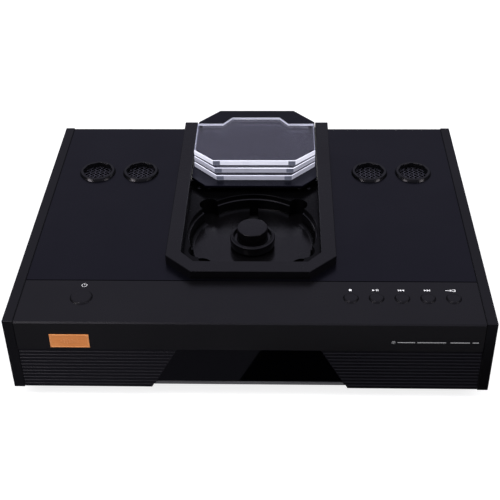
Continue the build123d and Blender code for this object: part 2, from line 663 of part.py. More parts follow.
def disc_clamp():
    """The puck: a ring with a raised rim, a tall knob, and sockets below for cone and magnet."""
    z0 = TURNTABLE_TOP
    rim, knob = CLAMP_RING_RADIUS, CLAMP_KNOB_RADIUS
    outline = [(CONE_RADIUS + 0.6, z0), (rim - 1.2, z0), (rim - 0.4, z0 + 0.8), (rim, CLAMP_RING_TOP - 1.0)]
    outline += [(rim - 0.4, CLAMP_RING_TOP - 0.2), (rim - 1.2, CLAMP_RING_TOP)]
    outline += [(rim - 2.6, CLAMP_RING_TOP - 0.3), (rim - 3.4, CLAMP_RING_TOP - 1.4)]
    outline += [(rim - 4.2, CLAMP_RING_TOP - 4.0), (knob, CLAMP_RING_TOP - 4.4)]
    outline += [(knob, CLAMP_TOP - 0.8), (knob - 0.8, CLAMP_TOP)]
    outline += [(0, CLAMP_TOP), (0, z0 + 7.2), (CLAMP_MAGNET, z0 + 7.2), (CLAMP_MAGNET, z0 + 3.2)]
    outline += [(CONE_RADIUS + 0.6, z0 + 3.2)]
    return turned(outline, 0, DISC_Y)


CLAMP_MAGNET = 9.0


def clamp_magnet():
    """A ring magnet glued into the top of the puck's socket."""
    z = TURNTABLE_TOP
    outer = CLAMP_MAGNET - 0.05
    ring = [(3, z + 3.6), (outer, z + 3.6), (outer, z + 7.2), (3, z + 7.2)]
    return turned(ring, 0, DISC_Y)


def tooth_half_angle(radius, teeth):
    """Half the tooth's angle at a radius, for an involute tooth thinned by the backlash."""
    pitch = MODULE * teeth / 2
    base = pitch * cos(radians(PRESSURE_ANGLE))
    grip = radians(PRESSURE_ANGLE)
    start = (pi / (2 * teeth)) - BACKLASH / (2 * pitch) + tan(grip) - grip
    if radius <= base:
        return start
    roll = sqrt((radius / base) ** 2 - 1)
    return start - (roll - atan2(roll, 1))


def gear(teeth, z0, z1, phase=0.0):
    """A spur gear about the origin, with one tooth centred at the phase angle in degrees."""
    pitch = MODULE * teeth / 2
    root, tip = pitch - 1.2 * MODULE, pitch + 0.9 * MODULE
    radii = [root, pitch - 0.3 * MODULE, pitch + 0.3 * MODULE, tip]
    points = []
    for k in range(teeth):
        centre = radians(phase) + 2 * pi * k / teeth
        flank = [(r, tooth_half_angle(r, teeth)) for r in radii]
        for r, half in flank:
            points.append((r * cos(centre - half), r * sin(centre - half)))
        for r, half in reversed(flank):
            points.append((r * cos(centre + half), r * sin(centre + half)))
    return slab(points, z0, z1)


GEAR_Z = PLATE_TOP + 1.0
RACK_TOP = GEAR_Z + 2.5
BIG_GEAR_Z = GEAR_Z + 3.2
BIG_GEAR_TOP = BIG_GEAR_Z + 2.0


def sled_gear():
    """The compound gear: a small gear on the rack and a big one that the pinion drives."""
    small = gear(SMALL_TEETH, GEAR_Z, BIG_GEAR_Z)
    big = gear(BIG_TEETH, BIG_GEAR_Z, BIG_GEAR_TOP)
    both = small + big - rod(0, 0, GEAR_Z - 1, BIG_GEAR_TOP + 1, SHAFT_RADIUS + RUNNING_FIT)
    return Pos(GEAR_X, GEAR_Y, 0) * both


def gear_pin():
    """The pin pressed into the plate, with a head that keeps the compound gear on."""
    pin = rod(GEAR_X, GEAR_Y, PLATE_Z, BIG_GEAR_TOP + 0.4, SHAFT_RADIUS)
    return pin + rod(GEAR_X, GEAR_Y, BIG_GEAR_TOP + 0.2, BIG_GEAR_TOP + 0.8, 2.0)


def motor_pinion():
    """The sled motor's shaft with its pinion; a tooth gap faces the big gear."""
    pinion = gear(PINION_TEETH, BIG_GEAR_Z - 0.3, BIG_GEAR_TOP + 0.2, 180 / PINION_TEETH)
    shaft = rod(0, 0, PLATE_Z - 12, BIG_GEAR_Z, SMALL_SHAFT)
    return Pos(GEAR_X, PINION_Y, 0) * (pinion + shaft)


def rack():
    """A rack along Y with tooth gaps facing the small gear at rest."""
    pitch = pi * MODULE
    root = RACK_X - 1.2 * MODULE
    start, end = DISC_Y + 5.0, DISC_Y + 51.0
    points = [(RACK_X - 4, start), (root, start)]
    slope = tan(radians(PRESSURE_ANGLE))
    count = int((end - start) / pitch)
    first = int((GEAR_Y - start) / pitch) - 1
    for k in range(count - 1):
        centre = GEAR_Y + (k - first + 0.5) * pitch
        half = pitch / 4 - BACKLASH / 2
        low, high = half + 1.2 * MODULE * slope, half - 0.9 * MODULE * slope
        points += [(root, centre - low), (RACK_X + 0.9 * MODULE, centre - high)]
        points += [(RACK_X + 0.9 * MODULE, centre + high), (root, centre + low)]
    points += [(root, end), (RACK_X - 4, end)]
    return slab(points, GEAR_Z, RACK_TOP)


def pickup_sled():
    """The carriage: a block on two guide rods, open around the hub, with its rack arm."""
    y0, y1 = DISC_Y + 12.0, DISC_Y + 42.0
    z0, z1 = PLATE_TOP + 0.6, PLATE_TOP + 6.4
    body = block(-27, 27, y0, y1, z0, z1)
    body -= block(-8, 8, y0 - 1, y0 + 4, z0 - 1, z1 + 1)
    body += block(27, RACK_X - 3.9, y0 + 4, y1 - 4, GEAR_Z, RACK_TOP)
    body += rack()
    for x in (-ROD_X, ROD_X):
        body -= rod_y(x, ROD_Z, y0 - 1, y1 + 1, ROD_RADIUS + RUNNING_FIT)
    lens_y = DISC_Y + LENS_START
    return body - rod(0, lens_y, z0 + 1, z1 + 1, 4.0)


def pickup_lens():
    """The lens holder in the sled's pocket, with a small domed lens on top."""
    y = DISC_Y + LENS_START
    z0, z1 = PLATE_TOP + 1.6, FOOT_HEIGHT + 57.9
    holder = [(0, z0), (4.0, z0), (4.0, z1 - 0.8), (3.4, z1), (1.8, z1), (1.2, z1 + 0.35), (0, z1 + 0.45)]
    return turned(holder, 0, y)


# ---- lid ----
def octagon(front, rear, half_front, half_x, cut_front, half_rear, cut_rear):
    """An outline with cut corners at the front and at the rear."""
    half = [(half_front, front), (half_x, front + cut_front), (half_x, rear - cut_rear)]
    half += [(half_rear, rear)]
    return half + [(-x, y) for x, y in reversed(half)]


def lid_plate():
    """The black carrier plate under the acrylic layers."""
    outline = octagon(LID_FRONT, LID_REAR, 50.7, LID_HALF_X, 17.0, 43.0, 26.5)
    plate = slab(outline, LID_UNDER, LID_UNDER + LID_THICKNESS)
    return chamfer(plate.edges().group_by(Axis.Z)[-1], 0.4)


def lid_layer(index):
    """One clear acrylic layer; each higher layer starts further back."""
    step = 4.5
    front = LID_FRONT + 9.9 + step * index
    half_front = 39.5 + 2.0 * index
    cut = 26.6 - 2.8 * index
    half = [(half_front, front), (LAYER_HALF_X, front + cut)]
    shoulder, tab = LID_FRONT + 97.0, LID_FRONT + 111.0
    half += [(LAYER_HALF_X, shoulder), (36.5, shoulder), (26.7, tab)]
    z = LID_UNDER + LID_THICKNESS + LAYER_GAP + index * (LAYER_THICKNESS + LAYER_GAP)
    layer = slab(half + [(-x, y) for x, y in reversed(half)], z, z + LAYER_THICKNESS)
    flat_edges = layer.edges().group_by(Axis.Z)
    return chamfer(flat_edges[0] + flat_edges[-1], 0.4)


def lid_spacers():
    """Thin bonding pads near the corners, which hold the layers apart."""
    pads = []
    for index in range(3):
        z = LID_UNDER + LID_THICKNESS + index * (LAYER_THICKNESS + LAYER_GAP)
        for x in (-PAD_X, PAD_X):
            for y in PAD_Y:
                pads.append(rod(x, y, z, z + LAYER_GAP, PAD_RADIUS))
    return group(pads)


def lid_runner(side):
    """A plastic strip under the plate that slides in the rail's groove."""
    ends = sorted((side * 57.0, side * (FRAME_IN_X + GROOVE_DEPTH - 0.3)))
    strip = block(*ends, RUNNER_FRONT, RUNNER_REAR, RUNNER_Z, LID_UNDER)
    return chamfer(strip.edges().filter_by(Axis.Z), 1.0)


# ---- electronics ----
TRANSFORMER_AT = (-140.0, FRONT_Y + 245.0)
STANDOFF_HEIGHT = 8.0
BOARD_Z = TRAY_TOP + STANDOFF_HEIGHT
POWER_BOARD = (-195.0, -85.0, FRONT_Y + 62.0, FRONT_Y + 172.0)
MAIN_BOARD = (70.0, 190.0, FRONT_Y + 90.0, FRONT_Y + 318.0)


def board_corners(board):
    x0, x1, y0, y1 = board
    return [(x, y) for x in (x0 + 5, x1 - 5) for y in (y0 + 5, y1 - 5)]


STANDOFFS = [(x, y, name) for name, board in (("power", POWER_BOARD), ("main", MAIN_BOARD))
             for x, y in board_corners(board)]


def circuit_board(board):
    """A board with its four corner holes."""
    plate = block(*board, BOARD_Z, BOARD_Z + 1.6)
    for x, y in board_corners(board):
        plate -= rod(x, y, BOARD_Z - 1, BOARD_Z + 3, M3_HOLE)
    return plate


def main_board():
    """The signal board with its larger chips and the sockets' carrier block."""
    board = circuit_board(MAIN_BOARD)
    z = BOARD_Z + 1.6
    for cx, cy, w, d in ((110, 120, 20, 20), (150, 130, 14, 14), (120, 180, 10, 18), (150, 190, 24, 12)):
        y = FRONT_Y + cy
        board += block(cx - w / 2, cx + w / 2, y - d / 2, y + d / 2, z, z + 2.2)
    return board


def power_board():
    """The supply board with a heat sink and a relay block."""
    x0, x1, y0, y1 = POWER_BOARD
    board = circuit_board(POWER_BOARD)
    z = BOARD_Z + 1.6
    board += block(x0 + 14, x1 - 14, y1 - 20, y1 - 17, z, z + 26)
    for k in range(9):
        fin = x0 + 16 + k * 9.5
        board += block(fin, fin + 1.5, y1 - 17, y1 - 9, z, z + 26)
    return board


def capacitor(x, y):
    """A tall can with a bevelled top and a sleeve bead."""
    z = BOARD_Z + 1.6
    outline = [(0, z), (10.5, z), (11, z + 0.5), (11, z + 2.5), (10.4, z + 3.2), (11, z + 4)]
    outline += [(11, z + 29), (10.2, z + 30), (0, z + 30)]
    return turned(outline, x, y)


def standoff(x, y):
    post = extrude(RegularPolygon(3.0, 6), amount=STANDOFF_HEIGHT)
    return Pos(x, y, TRAY_TOP) * post - rod(x, y, TRAY_TOP - 1, BOARD_Z + 1, M3_HOLE)


def board_screws():
    """The identical screws on the boards, and under the button board."""
    screws = []
    for x, y, _ in STANDOFFS:
        z = BOARD_Z + 1.6
        screws.append(rod(x, y, z, z + HEAD_HEIGHT, HEAD_RADIUS) + rod(x, y, z - 6, z, M3))
    for x, y in BUTTON_BOARD_BOSSES:
        z = BOARD_TOP - 1.6
        screws.append(rod(x, y, z - HEAD_HEIGHT, z, HEAD_RADIUS) + rod(x, y, z, z + 6, M3))
    return group(screws)


def transformer():
    """A ring-shaped transformer with rounded edges."""
    z, h = TRAY_TOP, 38.0
    outline = [(14, z + 3), (17, z), (36, z), (42, z + 6), (42, z + h - 6), (36, z + h)]
    outline += [(17, z + h), (14, z + h - 3)]
    return turned(outline, *TRANSFORMER_AT)


def transformer_bolt():
    """The clamping bolt with its dished washer."""
    x, y = TRANSFORMER_AT
    top = TRAY_TOP + 38.0
    washer = turned([(0, top), (26, top), (26, top + 1.5), (0, top + 1.5)], x, y)
    head = Pos(x, y, top + 1.5) * extrude(RegularPolygon(5.5, 6), amount=4)
    return washer + head + rod(x, y, FLOOR_Z, top, 3.0)


def mains_inlet():
    """The appliance inlet: a flange outside, a body through the panel and a keyed cavity."""
    x, z = INLET_AT
    w, h = INLET_BODY
    body = block(x - w / 2, x + w / 2, REAR_Y - 20, REAR_Y, z - h / 2, z + h / 2)
    flange = block(x - w / 2 - 2.5, x + w / 2 + 2.5, REAR_Y, REAR_Y + 2.5, z - h / 2 - 2.5, z + h / 2 + 2.5)
    flange = chamfer(flange.edges().group_by(Axis.Y)[-1], 0.8)
    cw, ch, cut = 12.2, 8.0, 5.0
    cavity = [(x - cw, z - ch), (x + cw, z - ch), (x + cw, z + ch - cut), (x + cw - cut, z + ch)]
    cavity += [(x - cw + cut, z + ch), (x - cw, z + ch - cut)]
    return body + flange - upright(cavity, REAR_Y - 16, REAR_Y + 3) - inlet_blade_list()


def inlet_blade_list():
    """The three contact blades, which stop short of the cavity's mouth."""
    x, z = INLET_AT
    places = ((x - 7.0, z - 2.0), (x, z + 2.0), (x + 7.0, z - 2.0))
    return [block(bx - 1, bx + 1, REAR_Y - 18, REAR_Y - 3.2, bz - 2, bz + 2) for bx, bz in places]


def phono_shell(x):
    """The outer contact of a phono socket, with its collar against the panel."""
    y = REAR_Y
    sleeve = rod_y(x, PHONO_Z, y - 12, y + 9.5, 4.15)
    neck = rod_y(x, PHONO_Z, y - 12, y, 4.9)
    collar = rod_y(x, PHONO_Z, y, y + 1.5, 6.5)
    return sleeve + neck + collar - rod_y(x, PHONO_Z, y - 13, y + 10, 3.4)


def phono_core(x):
    """The insulator with the centre contact's hole."""
    y = REAR_Y
    return rod_y(x, PHONO_Z, y - 12, y + 8.5, 3.4) - rod_y(x, PHONO_Z, y - 3, y + 9, 1.6)


def optical_socket():
    """The optical socket: a square body with a closed dust flap in a shallow frame."""
    x, z, y = OPTICAL_X, PHONO_Z, REAR_Y
    body = block(x - 5, x + 5, y - 12, y + 1.0, z - 5, z + 5)
    rim = block(x - 6, x + 6, y, y + 1.0, z - 6, z + 6)
    return body + rim - block(x - 3.6, x + 3.6, y + 0.3, y + 2, z - 3.6, z + 3.6)


def main():
    os.makedirs("parts", exist_ok=True)
    save(side_panel(-1), "side_panel_left")
    save(side_panel(1), "side_panel_right")
    save(front_panel(), "front_panel")
    save(display_window(), "display_window")
    save(display_module(), "display_module")
    save(badge_plate(), "badge_plate")
    save(top_deck(), "top_deck")
    save(group([vent_ring(x) for x in VENT_X]), "vent_rings")
    save(group([vent_mesh(x) for x in VENT_X]), "vent_meshes")
    save(chassis_tray(), "chassis_tray")
    save(rear_panel(), "rear_panel")
    save(group([foot_body(x, y) for x, y in FOOT_PLACES]), "foot_bodies")
    save(group([foot_pad(x, y) for x, y in FOOT_PLACES]), "foot_pads")
    save(group([foot_screw(x, y) for x, y in FOOT_PLACES]), "foot_screws")
    save(casing_screws(), "casing_screws")
    save(group([rear_screw(x) for x in REAR_SCREW_X]), "rear_panel_screws")
    save(button(POWER_AT, POWER_RADIUS), "power_button")
    for name, (place, radius) in zip(KEY_NAMES, key_places()):
        save(button(place, radius), name)
    save(button_board(), "button_board")
    save(group([key_switch(*place) for place, _ in button_places()]), "key_switches")
    save(lid_rail_frame(), "lid_rail_frame")
    save(frame_screws(), "frame_screws")
    save(disc_well(), "disc_well")
    save(drive_plate(), "drive_plate")
    save(group([damper(x, DISC_Y + dy) for x, dy in DAMPERS]), "rubber_dampers")
    save(group([damper_screw(x, DISC_Y + dy) for x, dy in DAMPERS]), "damper_screws")
    save(group([guide_rod(x) for x in (-ROD_X, ROD_X)]), "guide_rods")
    save(motor(0, DISC_Y, 12.0, SPINDLE_LENGTH, 3.0, SHAFT_RADIUS), "spindle_motor")
    save(motor(GEAR_X, PINION_Y, 8.0, 15.0, 1.45, SMALL_SHAFT), "sled_motor")
    save(spindle_shaft(), "spindle_shaft")
    save(turntable(), "turntable")
    save(disc_clamp(), "disc_clamp")
    save(clamp_magnet(), "clamp_magnet")
    save(pickup_sled(), "pickup_sled")
    save(pickup_lens(), "pickup_lens")
    save(sled_gear(), "sled_gear")
    save(gear_pin(), "gear_pin")
    save(motor_pinion(), "motor_pinion")
    save(lid_plate(), "lid_plate")
    for index, level in enumerate(("bottom", "middle", "top")):
        save(lid_layer(index), f"lid_layer_{level}")
    save(lid_spacers(), "lid_spacers")
    save(group([lid_runner(side) for side in (-1, 1)]), "lid_runners")
    save(transformer(), "transformer")
    save(transformer_bolt(), "transformer_bolt")
    save(power_board(), "power_board")
    capacitors = [capacitor(x, FRONT_Y + d) for x in (-165.0, -130.0) for d in (85.0, 115.0)]
    save(group(capacitors), "capacitors")
    save(main_board(), "main_board")
    save(group([standoff(x, y) for x, y, _ in STANDOFFS]), "board_standoffs")
    save(board_screws(), "board_screws")
    save(mains_inlet(), "mains_inlet")
    save(group(inlet_blade_list()), "inlet_blades")
    save(group([phono_shell(x) for x in PHONO_X]), "phono_shells")
    save(group([phono_core(x) for x in PHONO_X]), "phono_cores")
    save(optical_socket(), "optical_socket")


main()
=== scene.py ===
import json
import math

import bmesh
import bpy
from mathutils import Matrix, Vector


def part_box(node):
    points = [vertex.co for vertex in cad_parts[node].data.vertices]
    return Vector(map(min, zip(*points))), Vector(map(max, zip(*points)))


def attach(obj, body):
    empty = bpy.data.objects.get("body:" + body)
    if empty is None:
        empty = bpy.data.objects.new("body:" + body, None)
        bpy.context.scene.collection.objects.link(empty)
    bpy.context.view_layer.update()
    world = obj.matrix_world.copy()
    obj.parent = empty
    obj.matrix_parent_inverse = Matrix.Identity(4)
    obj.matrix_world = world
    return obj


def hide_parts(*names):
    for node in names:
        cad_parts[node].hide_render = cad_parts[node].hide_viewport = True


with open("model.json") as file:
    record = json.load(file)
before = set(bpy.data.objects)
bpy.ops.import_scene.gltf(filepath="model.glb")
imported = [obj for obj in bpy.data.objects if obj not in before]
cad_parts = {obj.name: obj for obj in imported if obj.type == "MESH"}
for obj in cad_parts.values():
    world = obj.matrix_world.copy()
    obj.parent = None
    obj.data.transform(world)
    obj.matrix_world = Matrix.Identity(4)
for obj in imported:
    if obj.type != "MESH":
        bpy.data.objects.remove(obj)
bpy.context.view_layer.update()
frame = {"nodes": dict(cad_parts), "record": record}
MM = 0.001
NODES = frame["nodes"]

# ---- places read from the frame ----
PANEL_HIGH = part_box("front_panel")[1]
SIDE_LOW, SIDE_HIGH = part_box("side_panel_left")
FRONT_Y = SIDE_LOW.y
REAR_Y = SIDE_HIGH.y
BASE_Z = SIDE_LOW.z
DECK_Z = PANEL_HIGH.z
WINDOW_LOW, WINDOW_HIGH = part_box("display_window")
CLAMP_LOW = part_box("disc_clamp")[0]


# ---- material building ----
class Shader:
    """A material with a Principled shader, and short ways to add procedural detail to it."""

    def __init__(self, name, color, rough=0.5, metal=0.0, spec=0.5, **sockets):
        self.material = bpy.data.materials.new(name)
        self.material.use_nodes = True
        self.nodes = self.material.node_tree.nodes
        self.links = self.material.node_tree.links
        self.bsdf = self.nodes["Principled BSDF"]
        self.bsdf.inputs["Base Color"].default_value = (*color, 1)
        self.bsdf.inputs["Roughness"].default_value = rough
        self.bsdf.inputs["Metallic"].default_value = metal
        self.bsdf.inputs["Specular IOR Level"].default_value = spec
        for socket, value in sockets.items():
            self.bsdf.inputs[socket.replace("_", " ")].default_value = value
        self.coordinates = self.nodes.new("ShaderNodeTexCoord").outputs["Object"]

    def noise(self, scale, detail=3.0, stretch=(1, 1, 1), distortion=0.0):
        """A noise pattern; scale is in features per metre, and stretch squeezes it per axis."""
        mapping = self.nodes.new("ShaderNodeMapping")
        mapping.inputs["Scale"].default_value = stretch
        self.links.new(self.coordinates, mapping.inputs["Vector"])
        texture = self.nodes.new("ShaderNodeTexNoise")
        texture.inputs["Scale"].default_value = scale
        texture.inputs["Detail"].default_value = detail
        texture.inputs["Distortion"].default_value = distortion
        self.links.new(mapping.outputs["Vector"], texture.inputs["Vector"])
        return texture.outputs["Fac"]

    def between(self, source, low, high, start=0.3, end=0.7):
        """Maps a pattern's range to new limits."""
        node = self.nodes.new("ShaderNodeMapRange")
        node.inputs["From Min"].default_value = start
        node.inputs["From Max"].default_value = end
        node.inputs["To Min"].default_value = low
        node.inputs["To Max"].default_value = high
        self.links.new(source, node.inputs["Value"])
        return node.outputs["Result"]

    def math(self, operation, first, second):
        node = self.nodes.new("ShaderNodeMath")
        node.operation = operation
        for socket, value in zip(node.inputs, (first, second)):
            if isinstance(value, (int, float)):
                socket.default_value = value
            else:
                self.links.new(value, socket)
        return node.outputs["Value"]

    def roughness(self, source):
        self.links.new(source, self.bsdf.inputs["Roughness"])

    def tint(self, factor, color):
        """Mixes a colour over the base by a pattern."""
        node = self.nodes.new("ShaderNodeMix")
        node.data_type = "RGBA"
        base = self.bsdf.inputs["Base Color"]
        if base.is_linked:
            self.links.new(base.links[0].from_socket, node.inputs["A"])
        else:
            node.inputs["A"].default_value = base.default_value[:]
        node.inputs["B"].default_value = (*color, 1)
        self.links.new(factor, node.inputs["Factor"])
        self.links.new(node.outputs["Result"], base)

    def bump(self, source, strength, distance):
        """Adds a height pattern, on top of any that is there already."""
        node = self.nodes.new("ShaderNodeBump")
        node.inputs["Strength"].default_value = strength
        node.inputs["Distance"].default_value = distance
        normal = self.bsdf.inputs["Normal"]
        if normal.is_linked:
            self.links.new(normal.links[0].from_socket, node.inputs["Normal"])
        self.links.new(source, node.inputs["Height"])
        self.links.new(node.outputs["Normal"], normal)

    def edge(self, radius):
        """A pattern that is 1 on sharp edges and 0 on flat ground."""
        bevel = self.nodes.new("ShaderNodeBevel")
        bevel.samples = 4
        bevel.inputs["Radius"].default_value = radius
        true_normal = self.nodes.new("ShaderNodeNewGeometry").outputs["Normal"]
        dot = self.nodes.new("ShaderNodeVectorMath")
        dot.operation = "DOT_PRODUCT"
        self.links.new(bevel.outputs["Normal"], dot.inputs[0])
        self.links.new(true_normal, dot.inputs[1])
        return self.between(dot.outputs["Value"], 1.0, 0.0, 0.80, 0.995)


def anodised(name, color, rough=0.32, spec=0.5, wear=0.25, grain=2600, cool=1.0):
    """Bead-blasted, anodised aluminium: fine grain, faint handling marks, paler worn edges."""
    s = Shader(name, color, rough, spec=spec, Specular_Tint=(cool, cool, 1, 1))
    blast = s.noise(grain, 2)
    s.bump(blast, 0.12, 0.00005)
    s.bump(s.noise(420, 2), 0.03, 0.00008)
    handling = s.between(s.noise(16, 5, distortion=0.4), rough - 0.04, rough + 0.05)
    s.roughness(s.math("ADD", handling, s.between(blast, -0.03, 0.03)))
    brighter = tuple(min(1, c * 1.6 + 0.0004) for c in color)
    s.tint(s.between(s.noise(9, 3), 0.0, 0.6), brighter)
    worn = s.math("MULTIPLY", s.edge(0.0004), s.between(s.noise(160, 3), 0.1, 1.0))
    s.tint(s.math("MULTIPLY", worn, wear), (0.014, 0.014, 0.016))
    return s.material


def moulded(name, color, rough=0.5, spec=0.4):
    """Moulded plastic: a fine spark-eroded texture with soft sheen changes."""
    s = Shader(name, color, rough, spec=spec)
    s.bump(s.noise(1500, 3), 0.3, 0.00007)
    s.roughness(s.between(s.noise(30, 4), rough - 0.08, rough + 0.1))
    brighter = tuple(min(1, c * 1.5 + 0.0006) for c in color)
    s.tint(s.between(s.noise(24, 3), 0, 0.6), brighter)
    worn = s.math("MULTIPLY", s.edge(0.0004), s.between(s.noise(220, 3), 0.0, 0.35))
    s.tint(worn, tuple(min(1, c * 1.5 + 0.004) for c in color))
    return s.material


def coated_steel(name, color, rough=0.5):
    """Powder-coated sheet steel with orange peel."""
    s = Shader(name, color, rough, spec=0.45)
    s.bump(s.noise(900, 3), 0.35, 0.00010)
    s.roughness(s.between(s.noise(60, 4), rough - 0.06, rough + 0.1))
    s.tint(s.between(s.noise(14, 3), 0, 0.5), tuple(c * 1.5 + 0.002 for c in color))
    worn = s.math("MULTIPLY", s.edge(0.0005), s.between(s.noise(180, 3), 0.0, 0.5))
    s.tint(worn, (0.2, 0.2, 0.21))
    return s.material


def machined(name, color, rough=0.28, stretch=(1, 1, 1)):
    """Bare turned or ground metal with fine tool lines."""
    s = Shader(name, color, rough, metal=1.0)
    lines = s.noise(900, 3, stretch)
    s.bump(lines, 0.25, 0.00004)
    s.roughness(s.between(s.noise(500, 3, stretch), rough - 0.08, rough + 0.12))
    s.tint(s.between(s.noise(70, 4), 0, 0.35), tuple(c * 0.6 for c in color))
    return s.material


def clear_acrylic(name, color=(0.80, 0.80, 0.86)):
    """Polished clear sheet with a faint cool tint and hair-fine polishing marks."""
    s = Shader(name, color, 0.02, spec=0.5, IOR=1.49, Transmission_Weight=0.995)
    s.roughness(s.between(s.noise(60, 4), 0.01, 0.035))
    s.bump(s.noise(90, 2), 0.004, 0.00003)
    return s.material


def clear_pad(name):
    """Water-clear bonding pad, which all but vanishes between the sheets."""
    s = Shader(name, (1.0, 1.0, 1.0), 0.0, spec=0.1, IOR=1.03, Transmission_Weight=1.0)
    s.roughness(s.between(s.noise(300, 2), 0.0, 0.02))
    return s.material


def painted_glow_edge(name, color, glow):
    """The cut edge of clear sheet in painted light: a pale base and an emission glow stand in for the light
    the edge gathers, with long streaks and faint breaks.
    """
    # Painted light: the emission makes the edge glow though it is no lamp.
    s = Shader(name, color, 0.16, spec=0.6, Emission_Color=(0.84, 0.86, 1.0, 1), Emission_Strength=glow)
    streaks = s.noise(420, 3, (0.04, 0.04, 1))
    s.tint(s.between(streaks, 0.0, 0.5, 0.42, 0.62), tuple(min(1, c * 1.6) for c in color))
    blocks = s.noise(45, 2, (1, 1, 0.02), distortion=0.5)
    s.tint(s.between(blocks, 0.0, 0.35, 0.5, 0.7), tuple(c * 0.4 for c in color))
    s.roughness(s.between(streaks, 0.08, 0.3))
    s.bump(streaks, 0.2, 0.0001)
    return s.material


def smoked_acrylic(name):
    """Gloss black sheet: very smooth, with a soft haze and rare dust specks."""
    s = Shader(name, (0.0003, 0.0003, 0.0005), 0.05, spec=0.45)
    s.roughness(s.between(s.noise(35, 4), 0.03, 0.08))
    s.bump(s.noise(120, 2), 0.03, 0.00005)
    s.tint(s.between(s.noise(2200, 1), 0, 0.25, 0.72, 0.85), (0.004, 0.004, 0.005))
    return s.material


def copper_plate(name):
    """Brushed copper-toned plate: long horizontal brush lines and a warm patina."""
    s = Shader(name, (0.66, 0.215, 0.050), 0.36, metal=0.2)
    lines = s.noise(1400, 4, (0.03, 1, 1))
    s.bump(lines, 0.35, 0.00004)
    s.roughness(s.between(lines, 0.26, 0.46))
    s.tint(s.between(s.noise(45, 4, (1, 1, 2)), 0, 0.55), (0.74, 0.28, 0.08))
    s.tint(s.math("MULTIPLY", s.edge(0.0006), 0.8), (0.88, 0.50, 0.24))
    return s.material


def rubber(name):
    s = Shader(name, (0.015, 0.015, 0.015), 0.8, spec=0.3)
    s.bump(s.noise(1200, 4), 0.5, 0.0001)
    s.roughness(s.between(s.noise(200, 3), 0.7, 0.92))
    s.tint(s.between(s.noise(90, 4), 0, 0.4), (0.05, 0.048, 0.045))
    return s.material


def circuit_board(name):
    """Solder mask with a faint track pattern below it."""
    s = Shader(name, (0.01, 0.07, 0.03), 0.35)
    voronoi = s.nodes.new("ShaderNodeTexVoronoi")
    voronoi.distance = "MANHATTAN"
    voronoi.inputs["Scale"].default_value = 240
    s.links.new(s.coordinates, voronoi.inputs["Vector"])
    s.tint(s.between(voronoi.outputs["Distance"], 0.0, 0.7, 0.3, 0.5), (0.02, 0.14, 0.06))
    s.bump(voronoi.outputs["Distance"], 0.2, 0.00003)
    s.roughness(s.between(s.noise(90, 3), 0.28, 0.5))
    return s.material


def print_ink(name, color):
    """Screen-printed ink: matt, slightly uneven, a little thin in places."""
    s = Shader(name, color, 0.6, spec=0.3)
    s.bump(s.noise(3000, 2), 0.3, 0.00002)
    s.roughness(s.between(s.noise(800, 3), 0.5, 0.75))
    s.tint(s.between(s.noise(1800, 3), 0.0, 0.3), tuple(c * 0.7 for c in color))
    return s.material


